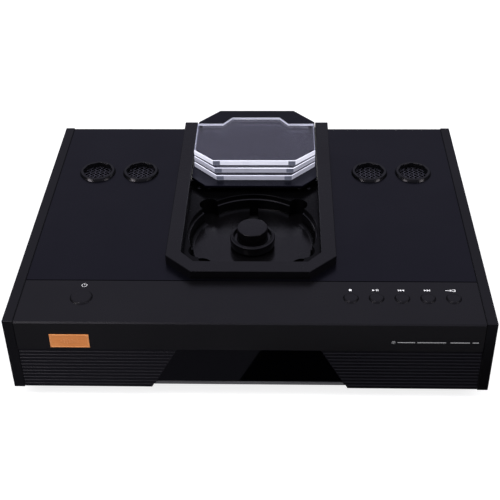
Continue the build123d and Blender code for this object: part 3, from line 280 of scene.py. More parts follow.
MATERIALS = {
    "deck": anodised("deck_black", (0.0004, 0.0004, 0.0009), 0.30, spec=0.41, cool=0.79),
    "strip": anodised("strip_black", (0.0012, 0.0011, 0.0013), 0.30, spec=0.50),
    # Painted light: a lighter, less glossy copy of the strip's black for the upright face of the same front
    # panel.
    "face": anodised("upright_face_painted_light", (0.0034, 0.0032, 0.0036), 0.36, spec=0.40),
    "ribs": anodised("rib_black", (0.0022, 0.0020, 0.0030), 0.30, spec=0.42),
    "rail": anodised("rail_black", (0.0011, 0.0010, 0.0012), 0.28, spec=0.52),
    "collar": anodised("collar_black", (0.0009, 0.0009, 0.0011), 0.22, spec=0.55, wear=0.0),
    "side": anodised("side_black", (0.0010, 0.0010, 0.0012), 0.34, spec=0.45),
    "plate": anodised("plate_black", (0.0003, 0.0003, 0.0008), 0.28, spec=0.37, cool=0.70),
    "plastic": moulded("well_plastic", (0.0012, 0.0011, 0.0013), 0.20, 0.55),
    # Painted shade: a darker, less reflective copy of the well plastic for the shaded walls and flange.
    "well_painted_shade": moulded("well_painted_shade_plastic", (0.0005, 0.0005, 0.0006), 0.24, 0.15),
    "dark_plastic": moulded("socket_plastic", (0.010, 0.010, 0.010), 0.5),
    "white_plastic": moulded("acetal_plastic", (0.62, 0.62, 0.58), 0.42),
    "steel_coat": coated_steel("coated_steel", (0.010, 0.010, 0.011)),
    "steel": machined("machined_steel", (0.42, 0.42, 0.43)),
    "dark_steel": machined("blackened_steel", (0.075, 0.075, 0.08), 0.34),
    "weave": machined("woven_steel", (0.20, 0.20, 0.215), 0.38),
    # Painted reflection: the lip's pale grey stands in for the floor reflected in it.
    "sill": anodised("sill_painted_reflection", (0.060, 0.060, 0.063), 0.34, spec=0.5, wear=0.1),
    "gold": machined("gold_contact", (0.75, 0.5, 0.17), 0.22),
    "acrylic": clear_acrylic("clear_acrylic"),
    "pad": clear_pad("clear_pad"),
    "red_plastic": moulded("red_insulator", (0.42, 0.012, 0.010), 0.4),
    "orange_plastic": moulded("orange_insulator", (0.55, 0.14, 0.012), 0.4),
    # Painted light: glowing copies of one cut acrylic edge, brighter or dimmer by layer and place; the rim
    # copy is a painted highlight on the bevels.
    "edge": painted_glow_edge("acrylic_edge_painted_glow", (0.55, 0.55, 0.61), 0.42),
    "soft_edge": painted_glow_edge("acrylic_soft_edge_painted_glow", (0.28, 0.28, 0.34), 0.15),
    "dim_edge": painted_glow_edge("acrylic_dim_edge_painted_glow", (0.13, 0.14, 0.19), 0.03),
    "rim": painted_glow_edge("acrylic_rim_painted_highlight", (0.60, 0.60, 0.70), 0.26),
    "smoked": smoked_acrylic("smoked_acrylic"),
    "copper": copper_plate("copper_plate"),
    "rubber": rubber("rubber_black"),
    "board": circuit_board("circuit_board"),
    "ink": print_ink("white_print", (0.80, 0.80, 0.80)),
    "pale_ink": print_ink("grey_print", (0.30, 0.30, 0.30)),
    "varnish": moulded("winding_varnish", (0.22, 0.12, 0.03), 0.35),
    "sleeve": moulded("capacitor_sleeve", (0.01, 0.012, 0.02), 0.25),
    "ferrite": moulded("ferrite_grey", (0.06, 0.06, 0.065), 0.6),
    "lens": clear_acrylic("lens_glass", (0.95, 0.96, 1.0)),
}

SLOT_LOOK = {
    "black_anodised": "side", "clear_acrylic": "acrylic", "smoked_acrylic": "smoked",
    "copper_plate": "copper", "black_plastic": "plastic", "white_plastic": "white_plastic",
    "black_steel": "steel_coat", "bright_steel": "steel", "rubber_black": "rubber",
    "board_green": "board", "display_glass": "smoked", "gold_contact": "gold",
    "core_varnish": "varnish", "sleeve_black": "sleeve", "magnet_grey": "ferrite",
    "lens_glass": "lens",
}
NODE_LOOK = {
    "top_deck": "deck", "lid_rail_frame": "rail", "lid_plate": "plate",
    "side_panel_left": "side", "side_panel_right": "side", "lid_spacers": "pad",
    "mains_inlet": "dark_plastic", "optical_socket": "dark_plastic",
    "rear_panel_screws": "dark_steel",
}


def dress_frame():
    """Gives every CAD node its procedural material."""
    slots = {row["node"]: row["material_slot"] for row in frame["record"]["subparts"]}
    for node, thing in NODES.items():
        look = NODE_LOOK.get(node) or SLOT_LOOK[slots[node]]
        thing.data.materials.clear()
        thing.data.materials.append(MATERIALS[look])


# ---- mesh building ----
def finish_mesh(mesh, name, look, body, replaces=(), sharp=32):
    """Turns a bmesh into a piece: smooth faces with sharp creases, material, body and slot."""
    bmesh.ops.recalc_face_normals(mesh, faces=mesh.faces)
    for face in mesh.faces:
        face.smooth = True
    for edge in mesh.edges:
        if len(edge.link_faces) == 2 and edge.calc_face_angle(0) > math.radians(sharp):
            edge.smooth = False
    data = bpy.data.meshes.new(name)
    mesh.to_mesh(data)
    mesh.free()
    piece = bpy.data.objects.new(name, data)
    bpy.context.scene.collection.objects.link(piece)
    for material in look if isinstance(look, (list, tuple)) else [look]:
        data.materials.append(MATERIALS[material])
    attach(piece, body)
    if replaces:
        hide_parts(*replaces)
    return piece


def add_lathe(mesh, profile, x, y, segments=96):
    """Adds a turned shape to a bmesh; the profile is a closed loop of radius and height."""
    rings = []
    for radius, z in profile:
        if radius < 1e-7:
            rings.append([mesh.verts.new((x, y, z))])
            continue
        ring = []
        for k in range(segments):
            turn = 2 * math.pi * k / segments
            ring.append(mesh.verts.new((x + radius * math.cos(turn), y + radius * math.sin(turn), z)))
        rings.append(ring)
    count = len(rings)
    for i in range(count):
        one, two = rings[i], rings[(i + 1) % count]
        if len(one) == 1 and len(two) == 1:
            continue
        for k in range(segments):
            n = (k + 1) % segments
            corners = [one[k % len(one)], one[n % len(one)], two[n % len(two)], two[k % len(two)]]
            unique = []
            for vert in corners:
                if vert not in unique:
                    unique.append(vert)
            mesh.faces.new(unique)


def rounded(profile, radius, steps=3):
    """Rounds each corner of a closed profile with a small arc."""
    out = []
    count = len(profile)
    for i, corner in enumerate(profile):
        here = Vector(corner)
        before, after = Vector(profile[i - 1]), Vector(profile[(i + 1) % count])
        if here.x < 1e-7:
            out.append(tuple(here))
            continue
        a, b = before - here, after - here
        reach = min(radius, a.length * 0.45, b.length * 0.45)
        start, end = here + a.normalized() * reach, here + b.normalized() * reach
        for k in range(steps + 1):
            t = k / steps
            point = start * (1 - t) ** 2 + here * 2 * t * (1 - t) + end * t ** 2
            out.append((max(point.x, 0), point.y))
    return out


def add_prism(mesh, outline, place, thickness):
    """Adds a flat shape of the given thickness; place turns outline points into 3-D points."""
    low = [mesh.verts.new(place(u, v, 0)) for u, v in outline]
    high = [mesh.verts.new(place(u, v, thickness)) for u, v in outline]
    mesh.faces.new(low[::-1])
    mesh.faces.new(high)
    count = len(outline)
    for i in range(count):
        n = (i + 1) % count
        mesh.faces.new((low[i], low[n], high[n], high[i]))


def ring_outline(mesh, radius, width, place, thickness, start=0.0, sweep=2 * math.pi, steps=40):
    """Adds a flat ring or arc."""
    inner, outer = radius - width / 2, radius + width / 2
    angles = [start + sweep * k / steps for k in range(steps + 1)]
    for a, b in zip(angles, angles[1:]):
        quad = [(inner * math.cos(a), inner * math.sin(a)), (outer * math.cos(a), outer * math.sin(a)),
                (outer * math.cos(b), outer * math.sin(b)), (inner * math.cos(b), inner * math.sin(b))]
        add_prism(mesh, quad, place, thickness)


# ---- vents ----
VENT_PITCH = 46.7 * MM
LOBES = 8
STRAND_PITCH = 3.6 * MM


def vent_centres():
    """The middle of each vent and a mesh disc's radius, from the discs' box and a pair's pitch."""
    low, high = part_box("vent_meshes")
    y = (low.y + high.y) / 2
    reach = (high.y - low.y) / 2
    outer = high.x - reach
    inner = outer - VENT_PITCH
    return [(x, y) for x in (-outer, -inner, inner, outer)], reach


def lobed(radius, swing, turn):
    """A round opening with eight shallow lobes, one of them straight back."""
    return radius + swing * math.cos(LOBES * (turn - math.pi / 2))


def add_collar(mesh, x, y, outer, low, top):
    """A tapered collar with a narrow bright crest and a lobed throat."""
    throat, swing = outer - 4.3 * MM, 0.4 * MM
    crest = outer - 1.4 * MM
    sleeve = outer - 3.1 * MM
    section = [(throat, swing, low), (throat, swing, top - 0.5 * MM)]
    section += [(throat + 0.15 * MM, swing, top - 0.15 * MM)]
    section += [(throat + 0.5 * MM, swing * 0.7, top), (crest - 0.35 * MM, 0, top)]
    section += [(crest - 0.08 * MM, 0, top - 0.12 * MM), (crest + 0.05 * MM, 0, top - 0.35 * MM)]
    section += [(outer - 0.1 * MM, 0, DECK_Z + 0.25 * MM), (outer, 0, DECK_Z), (sleeve, 0, DECK_Z)]
    section += [(sleeve, 0, low)]
    segments = 144
    rings = []
    for radius, wave, z in section:
        ring = []
        for k in range(segments):
            turn = 2 * math.pi * k / segments
            reach = lobed(radius, wave, turn)
            ring.append(mesh.verts.new((x + reach * math.cos(turn), y + reach * math.sin(turn), z)))
        rings.append(ring)
    for i, one in enumerate(rings):
        two = rings[(i + 1) % len(rings)]
        for k in range(segments):
            n = (k + 1) % segments
            mesh.faces.new((one[k], one[n], two[n], two[k]))


def vent_collars():
    """The four raised collars."""
    low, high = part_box("vent_rings")
    centres = vent_centres()[0]
    mesh = bmesh.new()
    for x, y in centres:
        add_collar(mesh, x, y, (high.y - low.y) / 2, low.z, high.z)
    finish_mesh(mesh, "vent_collars", "collar", "chassis", ["vent_rings"], 50)


def add_strand(mesh, centre, along, side, half, pitch, phase):
    """One flat strand of the mesh, which dips and rises over the strands it crosses."""
    width, depth, swell = 0.46 * MM, 0.22 * MM, 0.26 * MM
    steps = max(4, int(8 * half / pitch))
    rings = []
    for i in range(steps + 1):
        travel = -half + 2 * half * i / steps
        lift = swell * math.cos(math.pi * travel / pitch + phase)
        middle = centre + along * travel + Vector((0, 0, lift))
        ring = []
        for j in range(8):
            turn = math.pi * j / 4
            ring.append(mesh.verts.new(middle + side * width * math.cos(turn)
                                       + Vector((0, 0, depth * math.sin(turn)))))
        rings.append(ring)
    for one, two in zip(rings, rings[1:]):
        for j in range(8):
            n = (j + 1) % 8
            mesh.faces.new((one[j], one[n], two[n], two[j]))
    mesh.faces.new(rings[0])
    mesh.faces.new(rings[-1][::-1])


def woven_meshes():
    """Diagonal woven strands below each collar, with a flat rim."""
    low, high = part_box("vent_meshes")
    centres, reach = vent_centres()
    pitch = STRAND_PITCH
    mesh = bmesh.new()
    for x, y in centres:
        middle = Vector((x, y, (low.z + high.z) / 2))
        rim = [(reach - 1.6 * MM, low.z), (reach - 1.6 * MM, high.z), (reach, high.z), (reach, low.z)]
        add_lathe(mesh, rim, x, y, 64)
        for direction in (1, -1):
            along = Vector((1, direction, 0)).normalized()
            side = Vector((-direction, 1, 0)).normalized()
            for k in range(-4, 5):
                offset = k * pitch
                if abs(offset) > reach - 1.5 * MM:
                    continue
                half = math.sqrt((reach - 1.0 * MM) ** 2 - offset ** 2)
                phase = math.pi * (k + (direction > 0))
                add_strand(mesh, middle + side * offset, along, side, half, pitch, phase)
    finish_mesh(mesh, "vent_weave", "weave", "chassis", ["vent_meshes"], 70)


# ---- controls ----
BUTTONS = ("power_button", "stop_button", "play_button", "previous_button", "next_button", "input_button")


def turned_button(node):
    """A tapered cap with a rolled rim, a shallow dished top and a retaining flange."""
    low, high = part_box(node)
    x, y = (low.x + high.x) / 2, (low.y + high.y) / 2
    flange = (high.x - low.x) / 2
    cap = flange - 1.5 * MM
    crown = cap - 1.1 * MM
    top = high.z
    under = DECK_Z - 4.2 * MM
    profile = [(0, low.z), (2 * MM, low.z), (2 * MM, under - 1.8 * MM), (flange, under - 1.8 * MM)]
    profile += [(flange, under), (cap, under), (cap, DECK_Z), (crown, top - 0.25 * MM)]
    profile += [(crown - 0.25 * MM, top), (crown - 1.0 * MM, top)]
    dish = [(crown * (0.85 - 0.2 * k), top - (0.16 + 0.03 * k) * MM) for k in range(4)]
    profile += dish + [(0, top - 0.28 * MM)]
    mesh = bmesh.new()
    add_lathe(mesh, rounded(profile, 0.12 * MM, 2), x, y, 96)
    finish_mesh(mesh, node + "_cap", "strip", node, [node])
    return x, y


INK = 0.05 * MM


def on_deck(cx, cy):
    """Places flat marks on the top strip about a centre."""
    return lambda u, v, t: (cx + u, cy + v, DECK_Z + t)


def on_front(cx, cz, y):
    """Places flat marks on the front face about a centre."""
    return lambda u, v, t: (cx + u, y - t, cz + v)


def rectangle(x0, x1, y0, y1):
    return [(x0 * MM, y0 * MM), (x1 * MM, y0 * MM), (x1 * MM, y1 * MM), (x0 * MM, y1 * MM)]


def triangle(x, width, height):
    """A triangle that points right when the width is positive."""
    return [(x * MM, -height / 2 * MM), ((x + width) * MM, 0), (x * MM, height / 2 * MM)]


def transport_marks(places):
    """Stop, play and pause, previous, next, an input arrow and a power symbol, behind their keys."""
    mesh = bmesh.new()
    y = 11.6 * MM
    shapes = {
        "stop_button": [rectangle(-1.2, 1.2, -1.3, 1.3)],
        "play_button": [triangle(-3.2, 2.6, 2.4), rectangle(0.2, 0.9, -1.2, 1.2),
                        rectangle(1.7, 2.4, -1.2, 1.2)],
        "previous_button": [rectangle(-3.0, -2.4, -1.2, 1.2), triangle(0.0, -2.4, 2.4),
                            triangle(2.6, -2.4, 2.4)],
        "next_button": [triangle(-2.6, 2.4, 2.4), triangle(0.0, 2.4, 2.4), rectangle(2.4, 3.0, -1.2, 1.2)],
    }
    for node, outlines in shapes.items():
        bx, by = places[node]
        for outline in outlines:
            add_prism(mesh, outline, on_deck(bx, by + y), INK)
    bx, by = places["input_button"]
    place = on_deck(bx - 0.8 * MM, by + y)
    arrow = [rectangle(-5.6, -1.0, -0.3, 0.3), triangle(-1.6, 2.6, 2.4), rectangle(3.0, 3.6, -1.5, 1.5)]
    arrow += [rectangle(0.4, 3.0, 1.0, 1.5), rectangle(0.4, 3.0, -1.5, -1.0)]
    for outline in arrow:
        add_prism(mesh, outline, place, INK)
    bx, by = places["power_button"]
    place = on_deck(bx + 0.2 * MM, by + 17.6 * MM)
    gap = math.radians(50)
    ring_outline(mesh, 2.3 * MM, 0.36 * MM, place, INK, math.pi / 2 + gap / 2, 2 * math.pi - gap)
    add_prism(mesh, rectangle(-0.22, 0.22, 0.4, 3.0), place, INK)
    finish_mesh(mesh, "key_marks", "ink", "chassis")


def front_marks():
    """A generic disc pictogram and four plain bars where a printed line belongs."""
    mesh = bmesh.new()
    z = BASE_Z + 58.4 * MM
    place = on_front(129.4 * MM, z, FRONT_Y)
    ring_outline(mesh, 1.35 * MM, 0.4 * MM, place, INK, steps=28)
    ring_outline(mesh, 0.4 * MM, 0.3 * MM, place, INK, steps=16)
    for start, end in ((133.0, 148.5), (150.5, 176.0), (180.0, 197.0), (199.5, 205.0)):
        add_prism(mesh, rectangle(start, end, -0.45, 0.45), on_front(0, z, FRONT_Y), INK)
    finish_mesh(mesh, "front_print", "pale_ink", "chassis")


def name_plate():
    """The copper plate: bevelled, with a raised border and a row of generic level bars."""
    low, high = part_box("badge_plate")
    cx, cz = (low.x + high.x) / 2, (low.z + high.z) / 2
    w, h = (high.x - low.x) / 2, (high.z - low.z) / 2
    face = low.y
    place = lambda u, v, t: (cx + u, face + t, cz + v)
    mesh = bmesh.new()
    levels = [(w, h, high.y - face), (w, h, 0.35 * MM), (w - 0.35 * MM, h - 0.35 * MM, 0),
              (w - 1.15 * MM, h - 1.15 * MM, 0), (w - 1.4 * MM, h - 1.4 * MM, 0.22 * MM)]
    loops = []
    for half_w, half_h, depth in levels:
        corners = ((-half_w, -half_h), (half_w, -half_h), (half_w, half_h), (-half_w, half_h))
        loops.append([mesh.verts.new(place(u, v, depth)) for u, v in corners])
    for one, two in zip(loops, loops[1:]):
        for k in range(4):
            n = (k + 1) % 4
            mesh.faces.new((one[k], one[n], two[n], two[k]))
    mesh.faces.new(loops[0])
    mesh.faces.new(loops[-1])
    bars = (2.2, 3.8, 5.6, 3.2, 4.8, 2.6, 3.6)
    for k, height in enumerate(bars):
        x = (k - len(bars) / 2 + 0.5) * 2.4
        outline = rectangle(x - 0.6, x + 0.6, -height / 2, height / 2)
        lift = lambda u, v, t: (cx + u, face + 0.22 * MM - t, cz + v)
        add_prism(mesh, outline, lift, 0.14 * MM)
    finish_mesh(mesh, "name_plate", "copper", "chassis", ["badge_plate"], 20)


def front_casing():
    """The front panel in three materials: the top strip, the plain upright face in a lighter copy of the
    strip's black as painted light, and the ribs.
    """
    mesh = bmesh.new()
    mesh.from_mesh(NODES["front_panel"].data)
    bmesh.ops.dissolve_limit(mesh, angle_limit=math.radians(0.5), verts=mesh.verts, edges=mesh.edges)
    band_foot = WINDOW_HIGH.z - 1.5 * MM
    for face in mesh.faces:
        centre = face.calc_center_median()
        if centre.z > band_foot:
            # Upright band faces take the lighter copy: painted light for how light falls on them.
            face.material_index = 1 if face.normal.y < -0.9 else 0
        else:
            face.material_index = 2
    looks = ["strip", "face", "ribs"]
    finish_mesh(mesh, "front_casing", looks, "chassis", ["front_panel"], 25)


# ---- rear ----
SOCKET_LOOKS = ["orange_plastic", "red_plastic", "white_plastic"]
SOCKET_REACH = 9 * MM
MARK_RING = 8.2 * MM


def phono_inserts():
    """The sockets' insulators: orange for the digital output, white and red for the two channels."""
    mesh = bmesh.new()
    mesh.from_mesh(NODES["phono_cores"].data)
    centres = phono_places()
    for face in mesh.faces:
        x = face.calc_center_median().x
        face.material_index = min(range(len(centres)), key=lambda k: abs(centres[k][0] - x))
    finish_mesh(mesh, "phono_inserts", SOCKET_LOOKS, "chassis", ["phono_cores"], 25)


def phono_places():
    """The middle of each socket, from the separate islands of the sockets' insulators."""
    mesh = bmesh.new()
    mesh.from_mesh(NODES["phono_cores"].data)
    middles = []
    for vert in mesh.verts:
        if all(abs(vert.co.x - x) > SOCKET_REACH for x in middles):
            middles.append(vert.co.x)
    groups = [[v.co for v in mesh.verts if abs(v.co.x - x) < SOCKET_REACH] for x in middles]
    places = []
    for points in groups:
        xs, zs = [p.x for p in points], [p.z for p in points]
        places.append(((min(xs) + max(xs)) / 2, (min(zs) + max(zs)) / 2))
    mesh.free()
    return sorted(places, reverse=True)


def rear_marks():
    """Printed rings round the sockets, a bar over each, and a frame round the inlet."""
    mesh = bmesh.new()
    for x, z in phono_places():
        place = lambda u, v, t, x=x, z=z: (x - u, REAR_Y + t, z + v)
        ring_outline(mesh, MARK_RING, 0.35 * MM, place, INK, steps=48)
        add_prism(mesh, rectangle(-3.2, 3.2, 10.2, 10.9), place, INK)
    low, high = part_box("mains_inlet")
    cx, cz = (low.x + high.x) / 2, (low.z + high.z) / 2
    w, h = (high.x - low.x) / 2 / MM + 2.5, (high.z - low.z) / 2 / MM + 2.5
    place = lambda u, v, t: (cx - u, REAR_Y + t, cz + v)
    for box in ((-w, w, h, h + 0.4), (-w, w, -h - 0.4, -h), (-w - 0.4, -w, -h, h), (w, w + 0.4, -h, h)):
        add_prism(mesh, rectangle(*box), place, INK)
    finish_mesh(mesh, "rear_print", "pale_ink", "chassis")


# ---- disc bay ----
CLAMP_BORE = 8.0 * MM
MAGNET_BORE = 9.0 * MM
KNOB_RADIUS = 15.2 * MM
RING_RISE = 10.3 * MM
LEDGE_Z = BASE_Z + 71.4 * MM
BAY_SCREW_Y = FRONT_Y + 223 * MM


def clamp_puck():
    """The disc clamp, turned: a rolled rim, a deep moat and a tall knob with a soft shoulder."""
    low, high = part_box("disc_clamp")
    x, y = (low.x + high.x) / 2, (low.y + high.y) / 2
    rim = (high.x - low.x) / 2
    knob = KNOB_RADIUS
    ring_top = low.z + RING_RISE
    profile = [(CLAMP_BORE, low.z), (rim - 1.3 * MM, low.z), (rim - 0.4 * MM, low.z + 1.0 * MM)]
    profile += [(rim, ring_top - 1.8 * MM), (rim - 0.5 * MM, ring_top - 0.9 * MM)]
    profile += [(rim - 1.9 * MM, ring_top - 0.8 * MM), (rim - 2.1 * MM, ring_top - 0.2 * MM)]
    profile += [(rim - 2.6 * MM, ring_top), (rim - 3.3 * MM, ring_top - 0.3 * MM)]
    profile += [(rim - 3.6 * MM, ring_top - 1.2 * MM)]
    profile += [(rim - 4.4 * MM, ring_top - 4.0 * MM), (knob + 0.5 * MM, ring_top - 4.4 * MM)]
    profile += [(knob, ring_top - 3.6 * MM), (knob, high.z - 1.0 * MM), (knob - 0.3 * MM, high.z - 0.3 * MM)]
    profile += [(knob - 1.0 * MM, high.z), (0, high.z), (0, low.z + 7.2 * MM)]
    profile += [(MAGNET_BORE, low.z + 7.2 * MM), (MAGNET_BORE, low.z + 3.2 * MM)]
    profile += [(CLAMP_BORE, low.z + 3.2 * MM)]
    mesh = bmesh.new()
    add_lathe(mesh, rounded(profile, 0.4 * MM), x, y, 160)
    finish_mesh(mesh, "clamp_puck", "rail", "disc_clamp", ["disc_clamp"])


def well_bay():
    """The moulded well in two materials: a glossy floor and ledge, and walls and flange in a darker, less
    reflective copy of the same plastic as painted shade.
    """
    mesh = bmesh.new()
    mesh.from_mesh(NODES["disc_well"].data)
    floor_z = CLAMP_LOW.z + 2.0 * MM
    for face in mesh.faces:
        height = face.calc_center_median().z
        on_floor = face.normal.z > 0.97 and height < floor_z
        on_ledge = face.normal.z > 0.3 and abs(height - LEDGE_Z) < 0.8 * MM
        # Walls and flange take the darker copy: painted shade.
        face.material_index = 0 if on_floor or on_ledge else 1
    finish_mesh(mesh, "well_bay", ["plastic", "well_painted_shade"], "chassis", ["disc_well"], 25)


def bay_screws():
    """Screw heads with a round recess, near the well's rear corners."""
    well_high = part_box("disc_well")[1]
    mesh = bmesh.new()
    top = well_high.z + 1.1 * MM
    for x in (-58, -48, 48, 58):
        y = BAY_SCREW_Y
        profile = [(0, well_high.z), (2.6 * MM, well_high.z), (2.6 * MM, top - 0.4 * MM), (2.1 * MM, top),
                   (0.9 * MM, top), (0.7 * MM, top - 0.7 * MM), (0, top - 0.7 * MM)]
        add_lathe(mesh, rounded(profile, 0.15 * MM, 2), x * MM, y, 32)
    finish_mesh(mesh, "well_screws", "dark_steel", "chassis")


# ---- lid ----
FRONT_END = 7.5 * MM
LAYER_BEVEL = 0.6 * MM
SHORT_SIDE = 5 * MM


def outline_of(node):
    """The corner points of a flat CAD plate, in order, from its upright edges."""
    mesh = bmesh.new()
    mesh.from_mesh(NODES[node].data)
    bmesh.ops.remove_doubles(mesh, verts=mesh.verts, dist=1e-6)
    low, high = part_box(node)
    walls = [e for e in mesh.edges if abs(e.verts[0].co.z - e.verts[1].co.z) > (high.z - low.z) * 0.5]
    points = []
    for edge in walls:
        upright = (edge.verts[0].co.xy - edge.verts[1].co.xy).length < 1e-5
        if upright and all((edge.verts[0].co.xy - p).length > 1e-4 for p in points):
            points.append(edge.verts[0].co.xy.copy())
    mesh.free()
    middle = Vector(((low.x + high.x) / 2, (low.y + high.y) / 2))
    points.sort(key=lambda p: math.atan2(p.y - middle.y, p.x - middle.x))
    return points, low.z, high.z


def inset(points, distance):
    """The outline moved inwards by a distance."""
    out = []
    count = len(points)
    for i in range(count):
        a, b, c = points[i - 1], points[i], points[(i + 1) % count]
        n1 = Vector((-(b - a).y, (b - a).x)).normalized()
        n2 = Vector((-(c - b).y, (c - b).x)).normalized()
        middle = (n1 + n2).normalized()
        out.append(b + middle * distance / max(0.2, middle.dot(n1)))
    return out


def split_front(points, reach):
    """Adds a point near each end of the long front edge, and says which edges are the short ends."""
    front = min(p.y for p in points)
    out, ends = [], []
    for k, here in enumerate(points):
        after = points[(k + 1) % len(points)]
        out.append(here)
        if abs(here.y - front) < 1e-5 and abs(after.y - front) < 1e-5:
            step = (after - here).normalized() * reach
            ends += [len(out) - 1, len(out) + 1]
            out += [here + step, after - step]
    return out, ends


def clear_layer(node, middle_look, crowned):
    """One acrylic layer: clear faces, pale glowing edges and bevels.

    Only a crowned layer, the topmost, keeps its bright edge along the rear. The pale edges glow by painted
    light, dimmer at the ends of the front edge, and the bevels carry a painted highlight.
    """
    points, low, high = outline_of(node)
    points, ends = split_front(points, FRONT_END)
    bevel = LAYER_BEVEL
    inner = inset(points, bevel)
    middle = sum(p.y for p in points) / len(points)
    mesh = bmesh.new()
    loops = []
    for outline, z in ((inner, low), (points, low + bevel), (points, high - bevel), (inner, high)):
        loops.append([mesh.verts.new((p.x, p.y, z)) for p in outline])
    count = len(points)
    for level, (one, two) in enumerate(zip(loops, loops[1:])):
        for k in range(count):
            n = (k + 1) % count
            face = mesh.faces.new((one[k], one[n], two[n], two[k]))
            face.material_index = 2 if level != 1 else 3 if k in ends else 1
            across = abs((one[k].co - one[n].co).x)
            rear = (one[k].co.y + one[n].co.y) / 2 > middle and across > SHORT_SIDE
            if rear and not crowned:
                face.material_index = 0
            if level == 2 and across < SHORT_SIDE:
                face.material_index = 3
    mesh.faces.new(loops[0][::-1])
    mesh.faces.new(loops[-1])
    # Painted light: after the clear face come the glowing edge, the bevels' painted highlight and the dim
    # glowing ends.
    looks = ["acrylic", middle_look, "rim", "dim_edge"]
    finish_mesh(mesh, "clear_" + node, looks, "lid", [node], 20)


def clear_layers():
    clear_layer("lid_layer_bottom", "soft_edge", False)
    clear_layer("lid_layer_middle", "soft_edge", False)
    clear_layer("lid_layer_top", "edge", True)


SILL_HALF = 86.3 * MM
WINDOW_TOP_HALF = 64.5 * MM
WINDOW_RISE = 40.5 * MM


def window_sill():
    """The lip of metal below the window, as wide as the window's foot, in a pale grey that is a painted
    reflection of the floor in front.
    """
    window_foot = WINDOW_LOW.z + 1.2 * MM
    y, low, high = FRONT_Y + 0.85 * MM, window_foot - 2.95 * MM, window_foot + 0.02 * MM
    half = SILL_HALF
    slope = (SILL_HALF - WINDOW_TOP_HALF) / WINDOW_RISE
    back = y + 0.9 * MM
    section = [(y, low), (y, high - 0.4 * MM), (y + 0.3 * MM, high), (back, high), (back, low)]
    mesh = bmesh.new()
    ends = []
    for side in (-1, 1):
        ends.append([mesh.verts.new((side * (half + (high - pz) * slope), py, pz)) for py, pz in section])
    count = len(section)
    for k in range(count):
        n = (k + 1) % count
        mesh.faces.new((ends[0][k], ends[0][n], ends[1][n], ends[1][k]))
    mesh.faces.new(ends[0])
    mesh.faces.new(ends[1][::-1])
    finish_mesh(mesh, "window_sill", "sill", "chassis")


# ---- stage ----
CAMERA_AT = Vector((28.77, -876.95, 686.06)) * MM
CAMERA_YAW, CAMERA_PITCH, CAMERA_ROLL = (math.radians(a) for a in (-2.157, 36.63, -1.046))
CAMERA_LENS = 74.08


def camera():
    """A camera at the height, turn and lens that the object is seen with."""
    data = bpy.data.cameras.new("camera")
    data.sensor_width = 36.0
    data.lens = CAMERA_LENS
    eye = bpy.data.objects.new("camera", data)
    forward = Vector((math.sin(CAMERA_YAW) * math.cos(CAMERA_PITCH),
                      math.cos(CAMERA_YAW) * math.cos(CAMERA_PITCH), -math.sin(CAMERA_PITCH)))
    right = Vector((math.cos(CAMERA_YAW), -math.sin(CAMERA_YAW), 0))
    up = right.cross(forward)
    turned_right = right * math.cos(CAMERA_ROLL) + up * math.sin(CAMERA_ROLL)
    turned_up = up * math.cos(CAMERA_ROLL) - right * math.sin(CAMERA_ROLL)
    basis = Matrix((turned_right, turned_up, -forward)).transposed()
    eye.matrix_world = Matrix.Translation(CAMERA_AT) @ basis.to_4x4()
    bpy.context.scene.collection.objects.link(eye)
    bpy.context.scene.camera = eye


GLINT = (1.0, 0.93, 1.0)
FLOOR_REACH = 40
FLOOR_GLOW = 0.83


def softbox(name, at, size, power, seen_in_gloss, lights_matt=True, color=(1, 1, 1)):
    """A soft lamp aimed at the object, which may be kept out of reflections or of matt light."""
    data = bpy.data.lights.new(name, "AREA")
    data.shape = "RECTANGLE"
    data.size, data.size_y = size
    data.energy = power
    data.color = color
    lamp = bpy.data.objects.new(name, data)
    lamp.location = at
    lamp.rotation_euler = (Vector((0, 0, 0.05)) - Vector(at)).to_track_quat("-Z", "Y").to_euler()
    lamp.visible_glossy = seen_in_gloss
    lamp.visible_diffuse = lights_matt
    bpy.context.scene.collection.objects.link(lamp)


def flat_card(name, outline, z, material):
    """A flat sheet that belongs to the stage."""
    data = bpy.data.meshes.new(name)
    data.from_pydata([(x, y, z) for x, y in outline], [], [tuple(range(len(outline)))])
    card = bpy.data.objects.new(name, data)
    bpy.context.scene.collection.objects.link(card)
    data.materials.append(material)
    return card


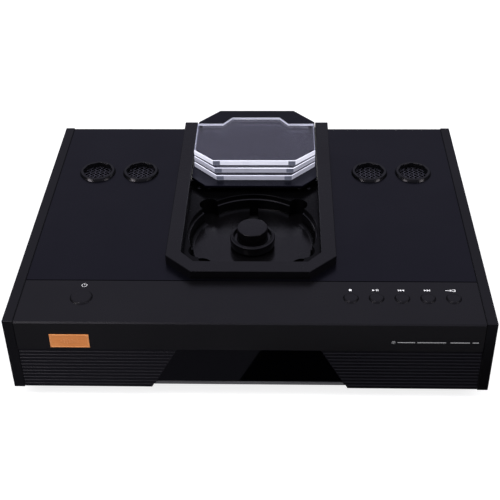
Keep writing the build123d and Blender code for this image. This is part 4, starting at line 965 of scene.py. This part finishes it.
def surround():
    """A dim room, brighter towards the ceiling, with a white backdrop behind the object."""
    world = bpy.data.worlds.new("surround")
    world.use_nodes = True
    nodes, links = world.node_tree.nodes, world.node_tree.links
    direction = nodes.new("ShaderNodeTexCoord").outputs["Generated"]
    split = nodes.new("ShaderNodeSeparateXYZ")
    links.new(direction, split.inputs["Vector"])
    blend = nodes.new("ShaderNodeValToRGB")
    stops = ((0.0, 0.085), (0.42, 0.085), (0.5, 0.05), (0.62, 0.10), (0.76, 0.27), (1.0, 0.40))
    ramp = blend.color_ramp
    ramp.elements[0].position, ramp.elements[-1].position = stops[0][0], stops[-1][0]
    for place, level in stops[1:-1]:
        ramp.elements.new(place)
    for element, (place, level) in zip(ramp.elements, stops):
        element.color = (level, level * 0.97, level * 1.25, 1)
    lift = nodes.new("ShaderNodeMapRange")
    lift.inputs["From Min"].default_value = -1
    links.new(split.outputs["Z"], lift.inputs["Value"])
    links.new(lift.outputs["Result"], blend.inputs["Fac"])
    links.new(blend.outputs["Color"], nodes["Background"].inputs["Color"])
    backdrop = nodes.new("ShaderNodeBackground")
    backdrop.inputs["Color"].default_value = (1, 1, 1, 1)
    chosen = nodes.new("ShaderNodeMixShader")
    links.new(nodes.new("ShaderNodeLightPath").outputs["Is Camera Ray"], chosen.inputs["Fac"])
    links.new(nodes["Background"].outputs["Background"], chosen.inputs[1])
    links.new(backdrop.outputs["Background"], chosen.inputs[2])
    links.new(chosen.outputs["Shader"], nodes["World Output"].inputs["Surface"])
    bpy.context.scene.world = world


def stage():
    """A wide pale floor, soft light from both sides and above, and a dark card low on the right."""
    pale = Shader("pale_floor", (0.28, 0.28, 0.28), 0.9, spec=0.0, Emission_Color=(1, 1, 1, 1),
                  Emission_Strength=FLOOR_GLOW)
    wide = FLOOR_REACH
    ground = [(-wide, -wide), (wide, -wide), (wide, wide), (-wide, wide)]
    floor = flat_card("floor", ground, 0, pale.material)
    floor.visible_glossy = False
    # A dark sheet seen only in reflections, not by the camera, in matt light or in shadows: a painted dark
    # reflection in the right part of the window and of the front.
    dark = Shader("dark_card", (0.0, 0.0, 0.0), 1.0, spec=0.0)
    near, far = FRONT_Y - 0.005, FRONT_Y - 0.078
    corners = [(-0.017, near), (0.9, near), (0.9, far), (0.016, far)]
    card = flat_card("dark_card", corners, 0.0005, dark.material)
    card.visible_camera = False
    card.visible_diffuse = False
    card.visible_shadow = False
    card.visible_transmission = False
    surround()
    bpy.context.scene.view_settings.view_transform = "Standard"
    softbox("left_box", (-1.7, -0.5, 1.45), (1.2, 1.4), 36, False)
    softbox("right_box", (1.75, -0.5, 1.45), (1.2, 1.4), 28, False)
    softbox("top_box", (0, -0.5, 2.3), (1.8, 1.2), 34, False)
    softbox("left_glint", (-1.55, -1.35, 0.50), (0.95, 0.25), 5.5, True, False, GLINT)
    softbox("right_glint", (1.55, -1.15, 0.45), (0.80, 0.25), 2.2, True, False, GLINT)
    softbox("bevel_glint", (-1.15, -1.75, 2.15), (0.9, 0.4), 4, True, False, GLINT)


# ---- assembly ----
dress_frame()
vent_collars()
woven_meshes()
transport_marks({node: turned_button(node) for node in BUTTONS})
front_marks()
name_plate()
front_casing()
clamp_puck()
clear_layers()
window_sill()
well_bay()
bay_screws()
phono_inserts()
rear_marks()
camera()
stage()
